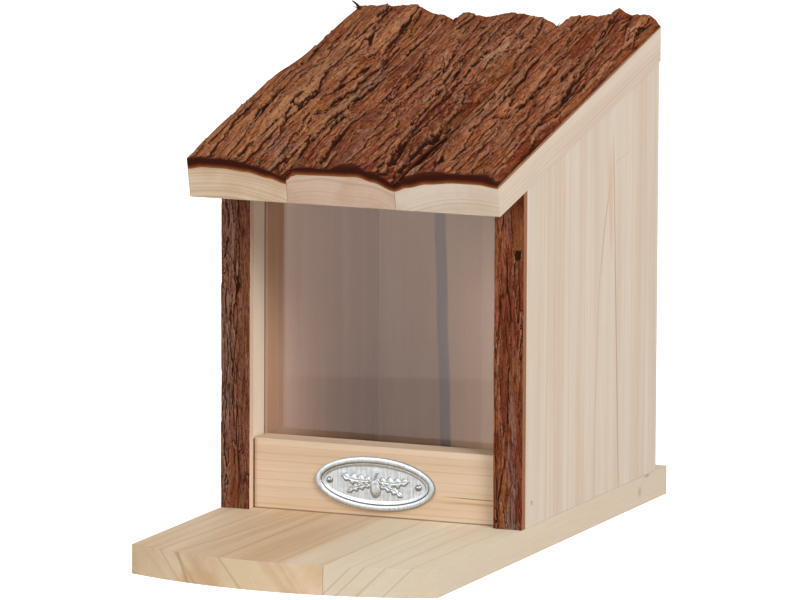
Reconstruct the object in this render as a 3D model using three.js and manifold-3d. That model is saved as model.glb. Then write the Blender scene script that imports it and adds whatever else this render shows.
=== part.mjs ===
// Squirrel feeder box.
// A box of planed softwood boards stands on a longer base whose front is a platform with a bowed
// edge. A clear panel stands in grooves in the side walls, behind a low rail, so the nuts show.
// The roof is the lid: three waney-edged slabs, glued edge to edge with their bark left on, hinged
// at the back so that an animal can lift it by its front overhang.
// Millimetres. X is to the right, Y to the back and Z up. The origin is the centre of the underside.
import * as THREE from 'three';
import { mergeVertices } from 'three/addons/utils/BufferGeometryUtils.js';
import Module from 'manifold-3d';

const wasm = await Module();
wasm.setup();

// Driving sizes of the box
const bodyWidth = 132;
const baseDepth = 255;
const baseBulge = 14;
const baseThickness = 12;
const wallThickness = 12;
const wallDepth = 148;
const rearLedge = 13;
const backThickness = 12;
const glueLine = 0.1;
const baseJointShare = 0.667;

// Driving sizes of the lid
const eavesHeight = 143.8;
const frontOverhang = 31;
const leftSideOverhang = 2.2;
const rightSideOverhang = 0.6;
const slabThickness = 13;
const lidSeatGap = 0.1;
const roofSlope = THREE.MathUtils.degToRad(12.75);
const slabWidthShares = [0.318, 0.348, 0.334];

// The waney top of each slab: [share of its width, share of its thickness]
const slabCrownShares = [
  [[0, 0.92], [0.16, 1], [0.36, 1], [0.6, 0.93], [0.82, 0.78], [1, 0.62]],
  [[0, 0.74], [0.08, 0.95], [0.5, 0.98], [0.66, 1], [0.8, 0.86], [1, 0.6]],
  [[0, 0.6], [0.12, 0.75], [0.32, 0.91], [0.58, 1], [0.8, 1], [1, 0.91]],
];
const slabNames = ['left', 'middle', 'right'];

// How thick each slab is at its rear, as a share of its front
const slabRearShares = [1.06, 1, 1.16];

// Bark on the roof: a mean thickness, broad ridges along the trunk and the main furrows between them
const barkThickness = 4.4;
const barkLeast = 1;
const barkEdgeRound = 4;
const barkRidge = 1.9;
const barkRidgePitch = 9.5;
const barkMeanderLength = 60;
const barkPlateLength = 40;
const barkFurrowWidth = 5;
const barkFurrowDepth = 2.3;
const barkGap = 0.1;
const barkColumns = 20;
const barkRows = 22;

// Thickness of each sheet at its front, a third up, two thirds up and at its rear: [left, right]
const barkThicknessShares = [
  [[0.95, 0.85], [1.45, 0.7], [1, 0.65], [0.8, 0.6]],
  [[0.9, 1.1], [0.85, 1], [0.6, 1.05], [0.3, 1.2]],
  [[0.85, 0.95], [0.9, 1.05], [1, 1], [1.15, 0.95]],
];

// What is left of that at the left and right edge of each sheet, which are worn round
const barkEdgeShares = [[1, 0.6], [0.6, 0.6], [0.6, 0.35]];

// The main furrows of each sheet, as shares across it and up the slope: [across, up, across, up]
const barkFurrowShares = [
  [[0.25, 0.41, 0.25, 0.22], [0.53, 0.48, 0.56, 0.33], [0.54, 0.32, 0.46, 0.1], [0.71, 0.73, 0.67, 0.43],
    [0.17, 0.98, 0.13, 0.76], [0.8, 0.5, 0.76, 0.36]],
  [[0.48, 0.9, 0.47, 0.82], [0.6, 0.68, 0.67, 0.46], [0.67, 0.46, 0.7, 0.23], [0.27, 0.64, 0.28, 0.33],
    [0.22, 0.2, 0.22, 0.14], [0.35, 0.71, 0.56, 0.54]],
  [[0.19, 0.61, 0.16, 0.42], [0.38, 0.79, 0.29, 0.58], [0.55, 0.64, 0.52, 0.38], [0.64, 0.9, 0.67, 0.57],
    [0.88, 0.6, 0.87, 0.38], [0.81, 0.36, 0.79, 0.1], [0.49, 0.37, 0.47, 0.16], [0.3, 0.11, 0.34, 0.01]],
];

// Front rail, clear panel and its grooves
const railHeight = 29;
const railThickness = 12;
const railSetback = 1;
const railEndGap = 0.8;
const grooveSetback = 0.5;
const grooveWidth = 3;
const grooveDepth = 4;
const panelThickness = 2;
const panelSideClearance = 0.5;
const panelTopClearance = 1.2;

// Bark strips on the front edges of the side walls
const stripWidth = 12.5;
const stripFloor = 3.1;
const stripRidge = 1.6;
const stripRidgePitch = 4.4;
const stripTopGap = 0.5;
const stripColumns = 7;
const stripRows = 22;

// Oval badge plate and its nails
const badgeWidth = 52;
const badgeHeight = 22;
const badgeRimWidth = 2.4;
const badgeRimThickness = 1.5;
const badgeFieldThickness = 0.8;
const badgeNailInset = 6.5;
const badgeNailHeadRadius = 1.4;
const badgeNailHeadHeight = 1;
const badgeNailRadius = 0.7;
const badgeNailLength = 10;

// Butt hinges
const hingeInset = 2;
const hingeLength = 20;
const hingeLeafHeight = 9;
const hingeLeafThickness = 1;
const knuckleRadius = 1.9;
const knuckleCount = 3;
const knuckleGap = 0.2;
const hingePinRadius = 0.95;
const hingePinHeadRadius = 1.5;
const hingePinHeadHeight = 0.7;
const hingeStandOff = 0.2;
const runningClearance = 0.08;

// Fasteners
const hingeScrewOffset = 6;
const hingeScrewRadius = 0.95;
const hingeScrewHeadRadius = 1.8;
const hingeScrewHeadHeight = 0.9;
const hingeScrewLength = 8;
const baseScrewRadius = 1.6;
const baseScrewHeadRadius = 3.2;
const baseScrewHeadHeight = 2;
const baseScrewLength = 30;
const baseScrewEndDistance = 24;
const backScrewInset = 26;
const bradRadius = 0.7;
const bradHeadRadius = 0.9;
const bradHeadHeight = 0.8;
const bradLength = 24;
const bradHeight = 9.5;
const sunkDepth = 0.3;
const fastenerClearance = 0.1;
const overrun = 5;

// Places worked out from the sizes
const halfWidth = bodyWidth / 2;
const innerHalfWidth = halfWidth - wallThickness;
const baseRearY = (baseDepth + baseBulge) / 2;
const baseSideFrontY = baseRearY - baseDepth;
const wallRearY = baseRearY - rearLedge;
const wallFrontY = wallRearY - wallDepth;
const backFrontY = wallRearY - backThickness;
const railFrontY = wallFrontY + railSetback;
const railRearY = railFrontY + railThickness;
const railTopZ = baseThickness + railHeight;
const grooveFrontY = railRearY + grooveSetback;
const grooveMiddleY = grooveFrontY + grooveWidth / 2;
const lidFrontY = wallFrontY - frontOverhang;
const lidLeftX = -halfWidth - leftSideOverhang;
const lidWidth = bodyWidth + leftSideOverhang + rightSideOverhang;
const undersideZ = (y) => eavesHeight + (y - lidFrontY) * Math.tan(roofSlope);
const seatZ = (y) => undersideZ(y) - lidSeatGap;
const hingeY = wallRearY + knuckleRadius + hingeStandOff;
const hingeZ = undersideZ(wallRearY) - lidSeatGap / 2;
const hingeOffset = innerHalfWidth - hingeInset - hingeLength / 2;
const backScrewOffset = innerHalfWidth - backScrewInset;
const badgeNailOffset = badgeWidth / 2 - badgeNailInset;

// Roundness of turned pieces
const fastenerSides = 14;
const knuckleSides = 18;
const domeSteps = 3;
const ovalSides = 40;
const arcSegments = 14;

const materials = {
  pine: { color: 0xdcc9ab, roughness: 0.7, metalness: 0 },
  bark: { color: 0x6b3a24, roughness: 0.95, metalness: 0 },
  acrylic: { color: 0xcfd4d6, roughness: 0.05, metalness: 0, transparent: true, opacity: 0.3 },
  zinc: { color: 0xb9bcbb, roughness: 0.35, metalness: 1 },
  steel: { color: 0xa8a294, roughness: 0.4, metalness: 1 },
};

// Manifold solids and back again

function toManifold(geometry) {
  const bare = geometry.clone();
  bare.deleteAttribute('normal');
  bare.deleteAttribute('uv');
  const merged = mergeVertices(bare);
  const corners = Array.from(merged.index.array);
  const triVerts = [];
  for (let at = 0; at < corners.length; at += 3) {
    const [a, b, c] = corners.slice(at, at + 3);
    if (a !== b && b !== c && c !== a) triVerts.push(a, b, c);
  }
  const vertProperties = new Float32Array(merged.attributes.position.array);
  const mesh = { numProp: 3, vertProperties, triVerts: new Uint32Array(triVerts) };
  return new wasm.Manifold(new wasm.Mesh(mesh));
}

function toGeometry(solid) {
  const mesh = solid.getMesh();
  const geometry = new THREE.BufferGeometry();
  geometry.setAttribute('position', new THREE.BufferAttribute(new Float32Array(mesh.vertProperties), 3));
  geometry.setIndex(new THREE.BufferAttribute(new Uint32Array(mesh.triVerts), 1));
  return geometry;
}

function cut(geometry, tools) {
  const left = tools.reduce((solid, tool) => solid.subtract(toManifold(tool)), toManifold(geometry));
  return toGeometry(left);
}

function join(geometries) {
  const [first, ...rest] = geometries.map(toManifold);
  return toGeometry(rest.reduce((solid, other) => solid.add(other), first));
}

// Building blocks

function box(from, to) {
  const size = to.map((value, axis) => value - from[axis]);
  const middle = to.map((value, axis) => (value + from[axis]) / 2);
  return new THREE.BoxGeometry(...size).translate(...middle);
}

function prismAlongX(outline, fromX, depth) {
  const shape = new THREE.Shape(outline.map(([y, z]) => new THREE.Vector2(y, z)));
  const geometry = new THREE.ExtrudeGeometry(shape, { depth, bevelEnabled: false });
  const turn = new THREE.Matrix4().set(0, 0, 1, fromX, 1, 0, 0, 0, 0, 1, 0, 0, 0, 0, 0, 1);
  return geometry.applyMatrix4(turn);
}

// A turned piece: its profile is [radius, distance along the axis], from tip to head, along +Y
function turned(profile, sides) {
  const points = profile.map(([radius, along]) => new THREE.Vector2(radius, along));
  return new THREE.LatheGeometry(points, sides);
}

// A closed sheet between two surfaces, each a function of shares across and along
function reliefSheet(columns, rows, bottomAt, topAt) {
  const positions = [];
  const faces = [];
  for (const surface of [bottomAt, topAt]) {
    for (let row = 0; row <= rows; row += 1) {
      for (let column = 0; column <= columns; column += 1) {
        positions.push(...surface(column / columns, row / rows));
      }
    }
  }
  const layer = (columns + 1) * (rows + 1);
  const at = (column, row, top) => row * (columns + 1) + column + top * layer;
  const quad = (a, b, c, d) => faces.push(a, b, c, a, c, d);
  for (let row = 0; row < rows; row += 1) {
    for (let column = 0; column < columns; column += 1) {
      quad(at(column, row, 1), at(column + 1, row, 1), at(column + 1, row + 1, 1), at(column, row + 1, 1));
      quad(at(column, row, 0), at(column, row + 1, 0), at(column + 1, row + 1, 0), at(column + 1, row, 0));
    }
    quad(at(0, row, 0), at(0, row, 1), at(0, row + 1, 1), at(0, row + 1, 0));
    quad(at(columns, row, 0), at(columns, row + 1, 0), at(columns, row + 1, 1), at(columns, row, 1));
  }
  for (let column = 0; column < columns; column += 1) {
    quad(at(column, 0, 0), at(column + 1, 0, 0), at(column + 1, 0, 1), at(column, 0, 1));
    quad(at(column, rows, 0), at(column, rows, 1), at(column + 1, rows, 1), at(column + 1, rows, 0));
  }
  const geometry = new THREE.BufferGeometry();
  geometry.setAttribute('position', new THREE.Float32BufferAttribute(positions, 3));
  geometry.setIndex(faces);
  return geometry;
}

// Smooth repeatable noise between 0 and 1

function scatter(column, row) {
  const wave = Math.sin(column * 127.1 + row * 311.7) * 43758.5453;
  return wave - Math.floor(wave);
}

function smoothNoise(across, along) {
  const column = Math.floor(across);
  const row = Math.floor(along);
  const u = THREE.MathUtils.smoothstep(across - column, 0, 1);
  const v = THREE.MathUtils.smoothstep(along - row, 0, 1);
  const near = THREE.MathUtils.lerp(scatter(column, row), scatter(column + 1, row), u);
  const far = THREE.MathUtils.lerp(scatter(column, row + 1), scatter(column + 1, row + 1), u);
  return THREE.MathUtils.lerp(near, far, v);
}

// Fasteners

function countersunkScrew({ radius, headRadius, headHeight, length }, clearance = 0) {
  const wide = radius + clearance;
  const headWide = headRadius + clearance;
  return turned([
    [0, -length - clearance],
    [wide, -length + radius],
    [wide, -headHeight],
    [headWide, clearance],
    [0, clearance],
  ], fastenerSides);
}

function domedNail({ radius, headRadius, headHeight, length }, clearance = 0) {
  const wide = radius + clearance;
  const shank = [[0, -length - clearance], [wide, -length + radius], [wide, 0]];
  if (clearance > 0) return turned([...shank, [wide, length], [0, length]], fastenerSides);
  for (let step = 0; step <= domeSteps; step += 1) {
    const angle = (step / domeSteps) * Math.PI / 2;
    shank.push([headRadius * Math.cos(angle), headHeight * Math.sin(angle)]);
  }
  return turned(shank, fastenerSides);
}

const hingeScrewSizes = {
  radius: hingeScrewRadius,
  headRadius: hingeScrewHeadRadius,
  headHeight: hingeScrewHeadHeight,
  length: hingeScrewLength,
};
const baseScrewSizes = {
  radius: baseScrewRadius,
  headRadius: baseScrewHeadRadius,
  headHeight: baseScrewHeadHeight,
  length: baseScrewLength,
};
const bradSizes = {
  radius: bradRadius,
  headRadius: bradHeadRadius,
  headHeight: bradHeadHeight,
  length: bradLength,
};
const badgeNailSizes = {
  radius: badgeNailRadius,
  headRadius: badgeNailHeadRadius,
  headHeight: badgeNailHeadHeight,
  length: badgeNailLength,
};

// Each place says where a fastener's head is and which way its head looks
const headTurns = {
  back: new THREE.Euler(0, 0, 0),
  front: new THREE.Euler(Math.PI, 0, 0),
  down: new THREE.Euler(-Math.PI / 2, 0, 0),
  left: new THREE.Euler(0, 0, Math.PI / 2),
  right: new THREE.Euler(0, 0, -Math.PI / 2),
};

function placed(geometry, place) {
  const turn = new THREE.Matrix4().makeRotationFromEuler(headTurns[place.looks]);
  return geometry.applyMatrix4(turn).translate(...place.at);
}

function screwHoles(sizes, places) {
  return places.map((place) => {
    const hole = countersunkScrew(sizes, fastenerClearance);
    const mouth = turned([
      [0, 0],
      [sizes.headRadius + fastenerClearance, 0],
      [sizes.headRadius + fastenerClearance, overrun],
      [0, overrun],
    ], fastenerSides);
    return placed(join([hole, mouth]), place);
  });
}

// The heads of the screws through the base are sunk a little above its underside
function baseScrewPlaces(side) {
  const x = side * (halfWidth - wallThickness / 2);
  const ends = [wallFrontY + baseScrewEndDistance, wallRearY - baseScrewEndDistance];
  return ends.map((y) => ({ at: [x, y, sunkDepth], looks: 'down' }));
}

const backScrewPlaces = [-1, 1].map((side) => ({
  at: [side * backScrewOffset, wallRearY - backThickness / 2, sunkDepth],
  looks: 'down',
}));

const hingeScrewHeight = (hingeLeafHeight + knuckleRadius) / 2;

function hingeScrewPlaces(side, leaf) {
  const y = wallRearY + hingeLeafThickness;
  const z = hingeZ + leaf * hingeScrewHeight;
  return [-1, 1].map((end) => ({ at: [side * hingeOffset + end * hingeScrewOffset, y, z], looks: 'back' }));
}

function bradPlace(side) {
  const x = side * (halfWidth - sunkDepth - bradHeadHeight);
  const y = (railFrontY + railRearY) / 2;
  return { at: [x, y, baseThickness + bradHeight], looks: side < 0 ? 'left' : 'right' };
}

const bradHole = (side) => placed(turned([
  [0, -bradLength - fastenerClearance],
  [bradHeadRadius + fastenerClearance, -bradLength + bradRadius],
  [bradHeadRadius + fastenerClearance, overrun],
  [0, overrun],
], fastenerSides), bradPlace(side));

const badgeMiddleZ = baseThickness + railHeight / 2;

function badgeNailPlace(side) {
  return { at: [side * badgeNailOffset, railFrontY - badgeFieldThickness, badgeMiddleZ], looks: 'front' };
}

const badgeNailHole = (side) => placed(domedNail(badgeNailSizes, fastenerClearance), badgeNailPlace(side));

// Base: two boards glued edge to edge, whose front edge is one arc across both

const arcRadius = (halfWidth ** 2 + baseBulge ** 2) / (2 * baseBulge);
const arcCentreY = baseSideFrontY - baseBulge + arcRadius;
const baseJointX = -halfWidth + bodyWidth * baseJointShare;

function baseBoard(fromX, toX) {
  const arcAngle = (x) => -Math.acos(x / arcRadius);
  const outline = new THREE.Shape();
  outline.moveTo(toX, baseRearY);
  outline.lineTo(fromX, baseRearY);
  outline.absarc(0, arcCentreY, arcRadius, arcAngle(fromX), arcAngle(toX), false);
  outline.closePath();
  const options = { depth: baseThickness, bevelEnabled: false, curveSegments: arcSegments };
  const board = new THREE.ExtrudeGeometry(outline, options);
  const places = [...baseScrewPlaces(-1), ...baseScrewPlaces(1), ...backScrewPlaces];
  const own = places.filter((place) => place.at[0] > fromX && place.at[0] < toX);
  return cut(board, screwHoles(baseScrewSizes, own));
}

// Side wall: its top follows the lid, and a groove on its inner face takes the clear panel

function sideWall(side) {
  const outline = [
    [wallFrontY, baseThickness],
    [wallRearY, baseThickness],
    [wallRearY, seatZ(wallRearY)],
    [wallFrontY, seatZ(wallFrontY)],
  ];
  const innerX = side * innerHalfWidth;
  const wall = prismAlongX(outline, Math.min(innerX, side * halfWidth), wallThickness);
  const grooveXs = [innerX - side * overrun, innerX + side * grooveDepth].sort((a, b) => a - b);
  const groove = box(
    [grooveXs[0], grooveFrontY, baseThickness - overrun],
    [grooveXs[1], grooveFrontY + grooveWidth, seatZ(wallRearY)],
  );
  return cut(wall, [groove, ...screwHoles(baseScrewSizes, baseScrewPlaces(side)), bradHole(side)]);
}

function backPanel() {
  const outline = [
    [backFrontY, baseThickness],
    [wallRearY, baseThickness],
    [wallRearY, seatZ(wallRearY)],
    [backFrontY, seatZ(backFrontY)],
  ];
  const panel = prismAlongX(outline, -innerHalfWidth, 2 * innerHalfWidth);
  const leafScrews = [-1, 1].flatMap((side) => hingeScrewPlaces(side, -1));
  return cut(panel, [
    ...screwHoles(baseScrewSizes, backScrewPlaces),
    ...screwHoles(hingeScrewSizes, leafScrews),
  ]);
}

function frontRail() {
  const reach = innerHalfWidth - railEndGap;
  const rail = box([-reach, railFrontY, baseThickness], [reach, railRearY, railTopZ]);
  return cut(rail, [bradHole(-1), bradHole(1), badgeNailHole(-1), badgeNailHole(1)]);
}

function clearPanel() {
  const reach = innerHalfWidth + grooveDepth - panelSideClearance;
  const frontY = grooveMiddleY - panelThickness / 2;
  const topZ = undersideZ(frontY) - panelTopClearance;
  return box([-reach, frontY, baseThickness], [reach, frontY + panelThickness, topZ]);
}

// Lid: a point on a slab is its X, its rise off the underside, and its share of the way from the
// upright rear cut to the front cut, which is square to the slab

function slopePoint(x, rise, forward) {
  const rear = [wallRearY, undersideZ(wallRearY) + rise / Math.cos(roofSlope)];
  const front = [lidFrontY - rise * Math.sin(roofSlope), eavesHeight + rise * Math.cos(roofSlope)];
  const y = THREE.MathUtils.lerp(rear[0], front[0], forward);
  const z = THREE.MathUtils.lerp(rear[1], front[1], forward);
  return [x, y, z];
}

function slabSpan(index) {
  const before = slabWidthShares.slice(0, index).reduce((sum, share) => sum + share, 0);
  const from = lidLeftX + lidWidth * before;
  const to = from + lidWidth * slabWidthShares[index];
  const atLeft = index > 0 ? glueLine / 2 : 0;
  const atRight = index < slabNames.length - 1 ? glueLine / 2 : 0;
  return [from + atLeft, to - atRight];
}

function crownRise(index, across) {
  const crown = slabCrownShares[index];
  const next = Math.max(1, crown.findIndex(([share]) => share >= across));
  const [fromShare, fromRise] = crown[next - 1];
  const [toShare, toRise] = crown[next];
  const u = THREE.MathUtils.smoothstep(across, fromShare, toShare);
  return slabThickness * THREE.MathUtils.lerp(fromRise, toRise, u);
}

function slabTaper(index, up) {
  return THREE.MathUtils.lerp(1, slabRearShares[index], up);
}

function roofSlab(index) {
  const [from, to] = slabSpan(index);
  const outline = new THREE.Shape();
  outline.moveTo(from, 0);
  outline.lineTo(to, 0);
  for (let column = barkColumns; column >= 0; column -= 1) {
    const across = column / barkColumns;
    outline.lineTo(THREE.MathUtils.lerp(from, to, across), crownRise(index, across));
  }
  outline.closePath();
  const slab = new THREE.ExtrudeGeometry(outline, { depth: 1, bevelEnabled: false });
  const position = slab.attributes.position;
  for (let at = 0; at < position.count; at += 1) {
    const forward = position.getZ(at);
    const rise = position.getY(at) * slabTaper(index, 1 - forward);
    position.setXYZ(at, ...slopePoint(position.getX(at), rise, forward));
  }
  const leafScrews = [-1, 1].flatMap((side) => hingeScrewPlaces(side, 1));
  const own = leafScrews.filter((place) => place.at[0] > from && place.at[0] < to);
  return cut(slab, screwHoles(hingeScrewSizes, own));
}

// Furrowed bark: broad ridges wander down the slope, and the main furrows are sunk between them

function ridgeShare(distance, along, pitch, seed) {
  const meander = smoothNoise(seed, along / barkMeanderLength);
  return smoothNoise(seed + distance / pitch + meander, along / barkPlateLength);
}

function furrowShare(point, from, to) {
  const run = to.clone().sub(from);
  const share = THREE.MathUtils.clamp(point.clone().sub(from).dot(run) / run.lengthSq(), 0, 1);
  const away = point.distanceTo(from.clone().addScaledVector(run, share));
  return 1 - THREE.MathUtils.smoothstep(away, 0, barkFurrowWidth / 2);
}

function meanBark(index, across, up) {
  const rows = barkThicknessShares[index];
  const place = up * (rows.length - 1);
  const row = Math.min(Math.floor(place), rows.length - 2);
  const share = THREE.MathUtils.smoothstep(place - row, 0, 1);
  const eased = (side) => THREE.MathUtils.lerp(rows[row][side], rows[row + 1][side], share);
  return barkThickness * THREE.MathUtils.lerp(eased(0), eased(1), across);
}

function roundedEdge(edgeShare, distance) {
  const away = THREE.MathUtils.clamp(distance / barkEdgeRound, 0, 1);
  return THREE.MathUtils.lerp(edgeShare, 1, Math.sqrt(1 - (1 - away) ** 2));
}

function roofBark(index) {
  const [from, to] = slabSpan(index);
  const length = (wallRearY - lidFrontY) / Math.cos(roofSlope);
  const place = (across, up) => new THREE.Vector2(across * (to - from), up * length);
  const [leftShare, rightShare] = barkEdgeShares[index];
  const riseAt = (across, up) => {
    const point = place(across, up);
    const ridge = 2 * ridgeShare(point.x, point.y, barkRidgePitch, index * 5 + 3) - 1;
    const furrows = barkFurrowShares[index].map(([x0, s0, x1, s1]) => {
      return furrowShare(point, place(x0, s0), place(x1, s1));
    });
    const full = meanBark(index, across, up) + barkRidge * ridge - barkFurrowDepth * Math.max(...furrows);
    const edges = roundedEdge(leftShare, point.x) * roundedEdge(rightShare, to - from - point.x);
    return Math.max(barkLeast, full * edges);
  };
  const surface = (thicknessAt) => (across, up) => {
    const x = THREE.MathUtils.lerp(from, to, across);
    const wood = crownRise(index, across) * slabTaper(index, up);
    return slopePoint(x, wood + barkGap + thicknessAt(across, up), 1 - up);
  };
  return reliefSheet(barkColumns, barkRows, surface(() => 0), surface(riseAt));
}

// Bark strip on the front edge of a side wall, its top cut to the slope of the lid

function barkStrip(side) {
  const from = side < 0 ? -halfWidth : halfWidth - stripWidth;
  const surface = (thicknessAt) => (across, up) => {
    const x = from + across * stripWidth;
    const y = wallFrontY - thicknessAt(across, up);
    const topZ = undersideZ(y) - stripTopGap;
    return [x, y, THREE.MathUtils.lerp(baseThickness, topZ, up)];
  };
  const height = undersideZ(wallFrontY) - baseThickness;
  const ridged = (across, up) => {
    const ridge = ridgeShare(across * stripWidth, up * height, stripRidgePitch, 20 + side);
    return stripFloor + stripRidge * ridge;
  };
  return reliefSheet(stripColumns, stripRows, surface(() => 0), surface(ridged));
}

// Badge: an oval pressed plate with a raised rim round a lower field

function badgePlate() {
  const a = badgeWidth / 2;
  const b = badgeHeight / 2;
  const rounding = badgeRimThickness / 4;
  const rings = [
    [a, b, 0],
    [a, b, badgeRimThickness - rounding],
    [a - rounding, b - rounding, badgeRimThickness],
    [a - badgeRimWidth + rounding, b - badgeRimWidth + rounding, badgeRimThickness],
    [a - badgeRimWidth, b - badgeRimWidth, badgeFieldThickness],
  ];
  const positions = [0, railFrontY, badgeMiddleZ];
  for (const [width, height, forward] of rings) {
    for (let side = 0; side < ovalSides; side += 1) {
      const angle = (2 * Math.PI * side) / ovalSides;
      const x = width * Math.cos(angle);
      const z = badgeMiddleZ + height * Math.sin(angle);
      positions.push(x, railFrontY - forward, z);
    }
  }
  positions.push(0, railFrontY - badgeFieldThickness, badgeMiddleZ);
  const last = 1 + rings.length * ovalSides;
  const faces = [];
  for (let side = 0; side < ovalSides; side += 1) {
    const next = (side + 1) % ovalSides;
    faces.push(0, 1 + next, 1 + side);
    for (let ring = 1; ring < rings.length; ring += 1) {
      const back = 1 + (ring - 1) * ovalSides;
      const front = back + ovalSides;
      faces.push(back + side, back + next, front + next, back + side, front + next, front + side);
    }
    faces.push(last - ovalSides + side, last - ovalSides + next, last);
  }
  const geometry = new THREE.BufferGeometry();
  geometry.setAttribute('position', new THREE.Float32BufferAttribute(positions, 3));
  geometry.setIndex(faces);
  return cut(geometry, [badgeNailHole(-1), badgeNailHole(1)]);
}

// Butt hinges: the fixed leaf has the outer knuckles and the lid leaf the middle one

const cylinderAlongX = (radius, length, x) => new THREE.CylinderGeometry(radius, radius, length, knuckleSides)
  .rotateZ(Math.PI / 2)
  .translate(x, hingeY, hingeZ);

function hingeLeaf(side, leaf) {
  const middleX = side * hingeOffset;
  const frontY = wallRearY;
  const rearY = wallRearY + hingeLeafThickness;
  const clearOfKnuckles = hingeZ + leaf * (knuckleRadius + knuckleGap);
  const plateZs = [clearOfKnuckles, hingeZ + leaf * hingeLeafHeight].sort((a, b) => a - b);
  const plate = box(
    [middleX - hingeLength / 2, frontY, plateZs[0]],
    [middleX + hingeLength / 2, rearY, plateZs[1]],
  );
  const knuckleLength = hingeLength / knuckleCount;
  const pieces = [plate];
  for (let knuckle = 0; knuckle < knuckleCount; knuckle += 1) {
    const isFixed = knuckle % 2 === 0;
    if (isFixed === leaf < 0) {
      const x = middleX - hingeLength / 2 + (knuckle + 0.5) * knuckleLength;
      const reach = (knuckleLength - knuckleGap) / 2;
      const webZs = [hingeZ, plateZs[leaf > 0 ? 0 : 1] + leaf * knuckleGap].sort((a, b) => a - b);
      pieces.push(cylinderAlongX(knuckleRadius, 2 * reach, x));
      pieces.push(box([x - reach, frontY + hingeStandOff, webZs[0]], [x + reach, rearY, webZs[1]]));
    }
  }
  const bore = cylinderAlongX(hingePinRadius + runningClearance, hingeLength + overrun, middleX);
  return cut(join(pieces), [bore, ...screwHoles(hingeScrewSizes, hingeScrewPlaces(side, leaf))]);
}

function hingePin(side) {
  const reach = hingeLength / 2;
  const head = reach + hingePinHeadHeight;
  const pin = turned([
    [0, -head],
    [hingePinHeadRadius * 0.7, -head],
    [hingePinHeadRadius, -reach - hingePinHeadHeight / 3],
    [hingePinHeadRadius, -reach],
    [hingePinRadius, -reach],
    [hingePinRadius, reach],
    [hingePinHeadRadius, reach],
    [hingePinHeadRadius, reach + hingePinHeadHeight / 3],
    [hingePinHeadRadius * 0.7, head],
    [0, head],
  ], knuckleSides);
  return pin.rotateZ(-Math.PI / 2).translate(side * hingeOffset, hingeY, hingeZ);
}

// Assembly: the box stands still, and the lid's group turns about the hinge pins

const feeder = new THREE.Group();
const boxGroup = new THREE.Group();
const lidGroup = new THREE.Group();
lidGroup.position.set(0, hingeY, hingeZ);
feeder.add(boxGroup, lidGroup);

function add(group, name, geometry, material) {
  const mesh = new THREE.Mesh(geometry, new THREE.MeshStandardMaterial(materials[material]));
  mesh.name = name;
  mesh.position.copy(group.position).negate();
  group.add(mesh);
}

const sideNames = { '-1': 'left', 1: 'right' };

add(boxGroup, 'base_left_board', baseBoard(-halfWidth, baseJointX - glueLine / 2), 'pine');
add(boxGroup, 'base_right_board', baseBoard(baseJointX + glueLine / 2, halfWidth), 'pine');
add(boxGroup, 'back_panel', backPanel(), 'pine');
add(boxGroup, 'front_rail', frontRail(), 'pine');
add(boxGroup, 'clear_panel', clearPanel(), 'acrylic');
add(boxGroup, 'badge_plate', badgePlate(), 'zinc');

for (const side of [-1, 1]) {
  const name = sideNames[side];
  add(boxGroup, `${name}_side_wall`, sideWall(side), 'pine');
  add(boxGroup, `${name}_bark_strip`, barkStrip(side), 'bark');
  add(boxGroup, `${name}_badge_nail`, placed(domedNail(badgeNailSizes), badgeNailPlace(side)), 'steel');
  add(boxGroup, `${name}_rail_brad`, placed(domedNail(bradSizes), bradPlace(side)), 'steel');
  add(boxGroup, `${name}_hinge_fixed_leaf`, hingeLeaf(side, -1), 'steel');
  add(lidGroup, `${name}_hinge_lid_leaf`, hingeLeaf(side, 1), 'steel');
  add(boxGroup, `${name}_hinge_pin`, hingePin(side), 'steel');
  hingeScrewPlaces(side, -1).forEach((place, index) => {
    const screw = placed(countersunkScrew(hingeScrewSizes), place);
    add(boxGroup, `${name}_fixed_leaf_screw_${index + 1}`, screw, 'steel');
  });
  hingeScrewPlaces(side, 1).forEach((place, index) => {
    const screw = placed(countersunkScrew(hingeScrewSizes), place);
    add(lidGroup, `${name}_lid_leaf_screw_${index + 1}`, screw, 'steel');
  });
  baseScrewPlaces(side).forEach((place, index) => {
    const screw = placed(countersunkScrew(baseScrewSizes), place);
    add(boxGroup, `${name}_wall_screw_${index + 1}`, screw, 'steel');
  });
}

backScrewPlaces.forEach((place, index) => {
  const screw = placed(countersunkScrew(baseScrewSizes), place);
  add(boxGroup, `back_panel_screw_${index + 1}`, screw, 'steel');
});

slabNames.forEach((name, index) => {
  add(lidGroup, `${name}_roof_slab`, roofSlab(index), 'pine');
  add(lidGroup, `${name}_roof_bark`, roofBark(index), 'bark');
});

export default feeder;
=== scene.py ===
# %% [markdown]
# # A squirrel feeder box with a bark roof
# The real feeder is a box of planed softwood boards on a longer base. A clear sheet and a low rail
# close its front, and three boards that keep their bark make the hinged roof. This lesson loads
# the CAD model as a fixed frame and gives each piece the surface that it has on the real object.

# %% Load the CAD model as the fixed frame
import math

import bpy
import numpy as np
from mathutils import Matrix, Vector
from mathutils.bvhtree import BVHTree


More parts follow.
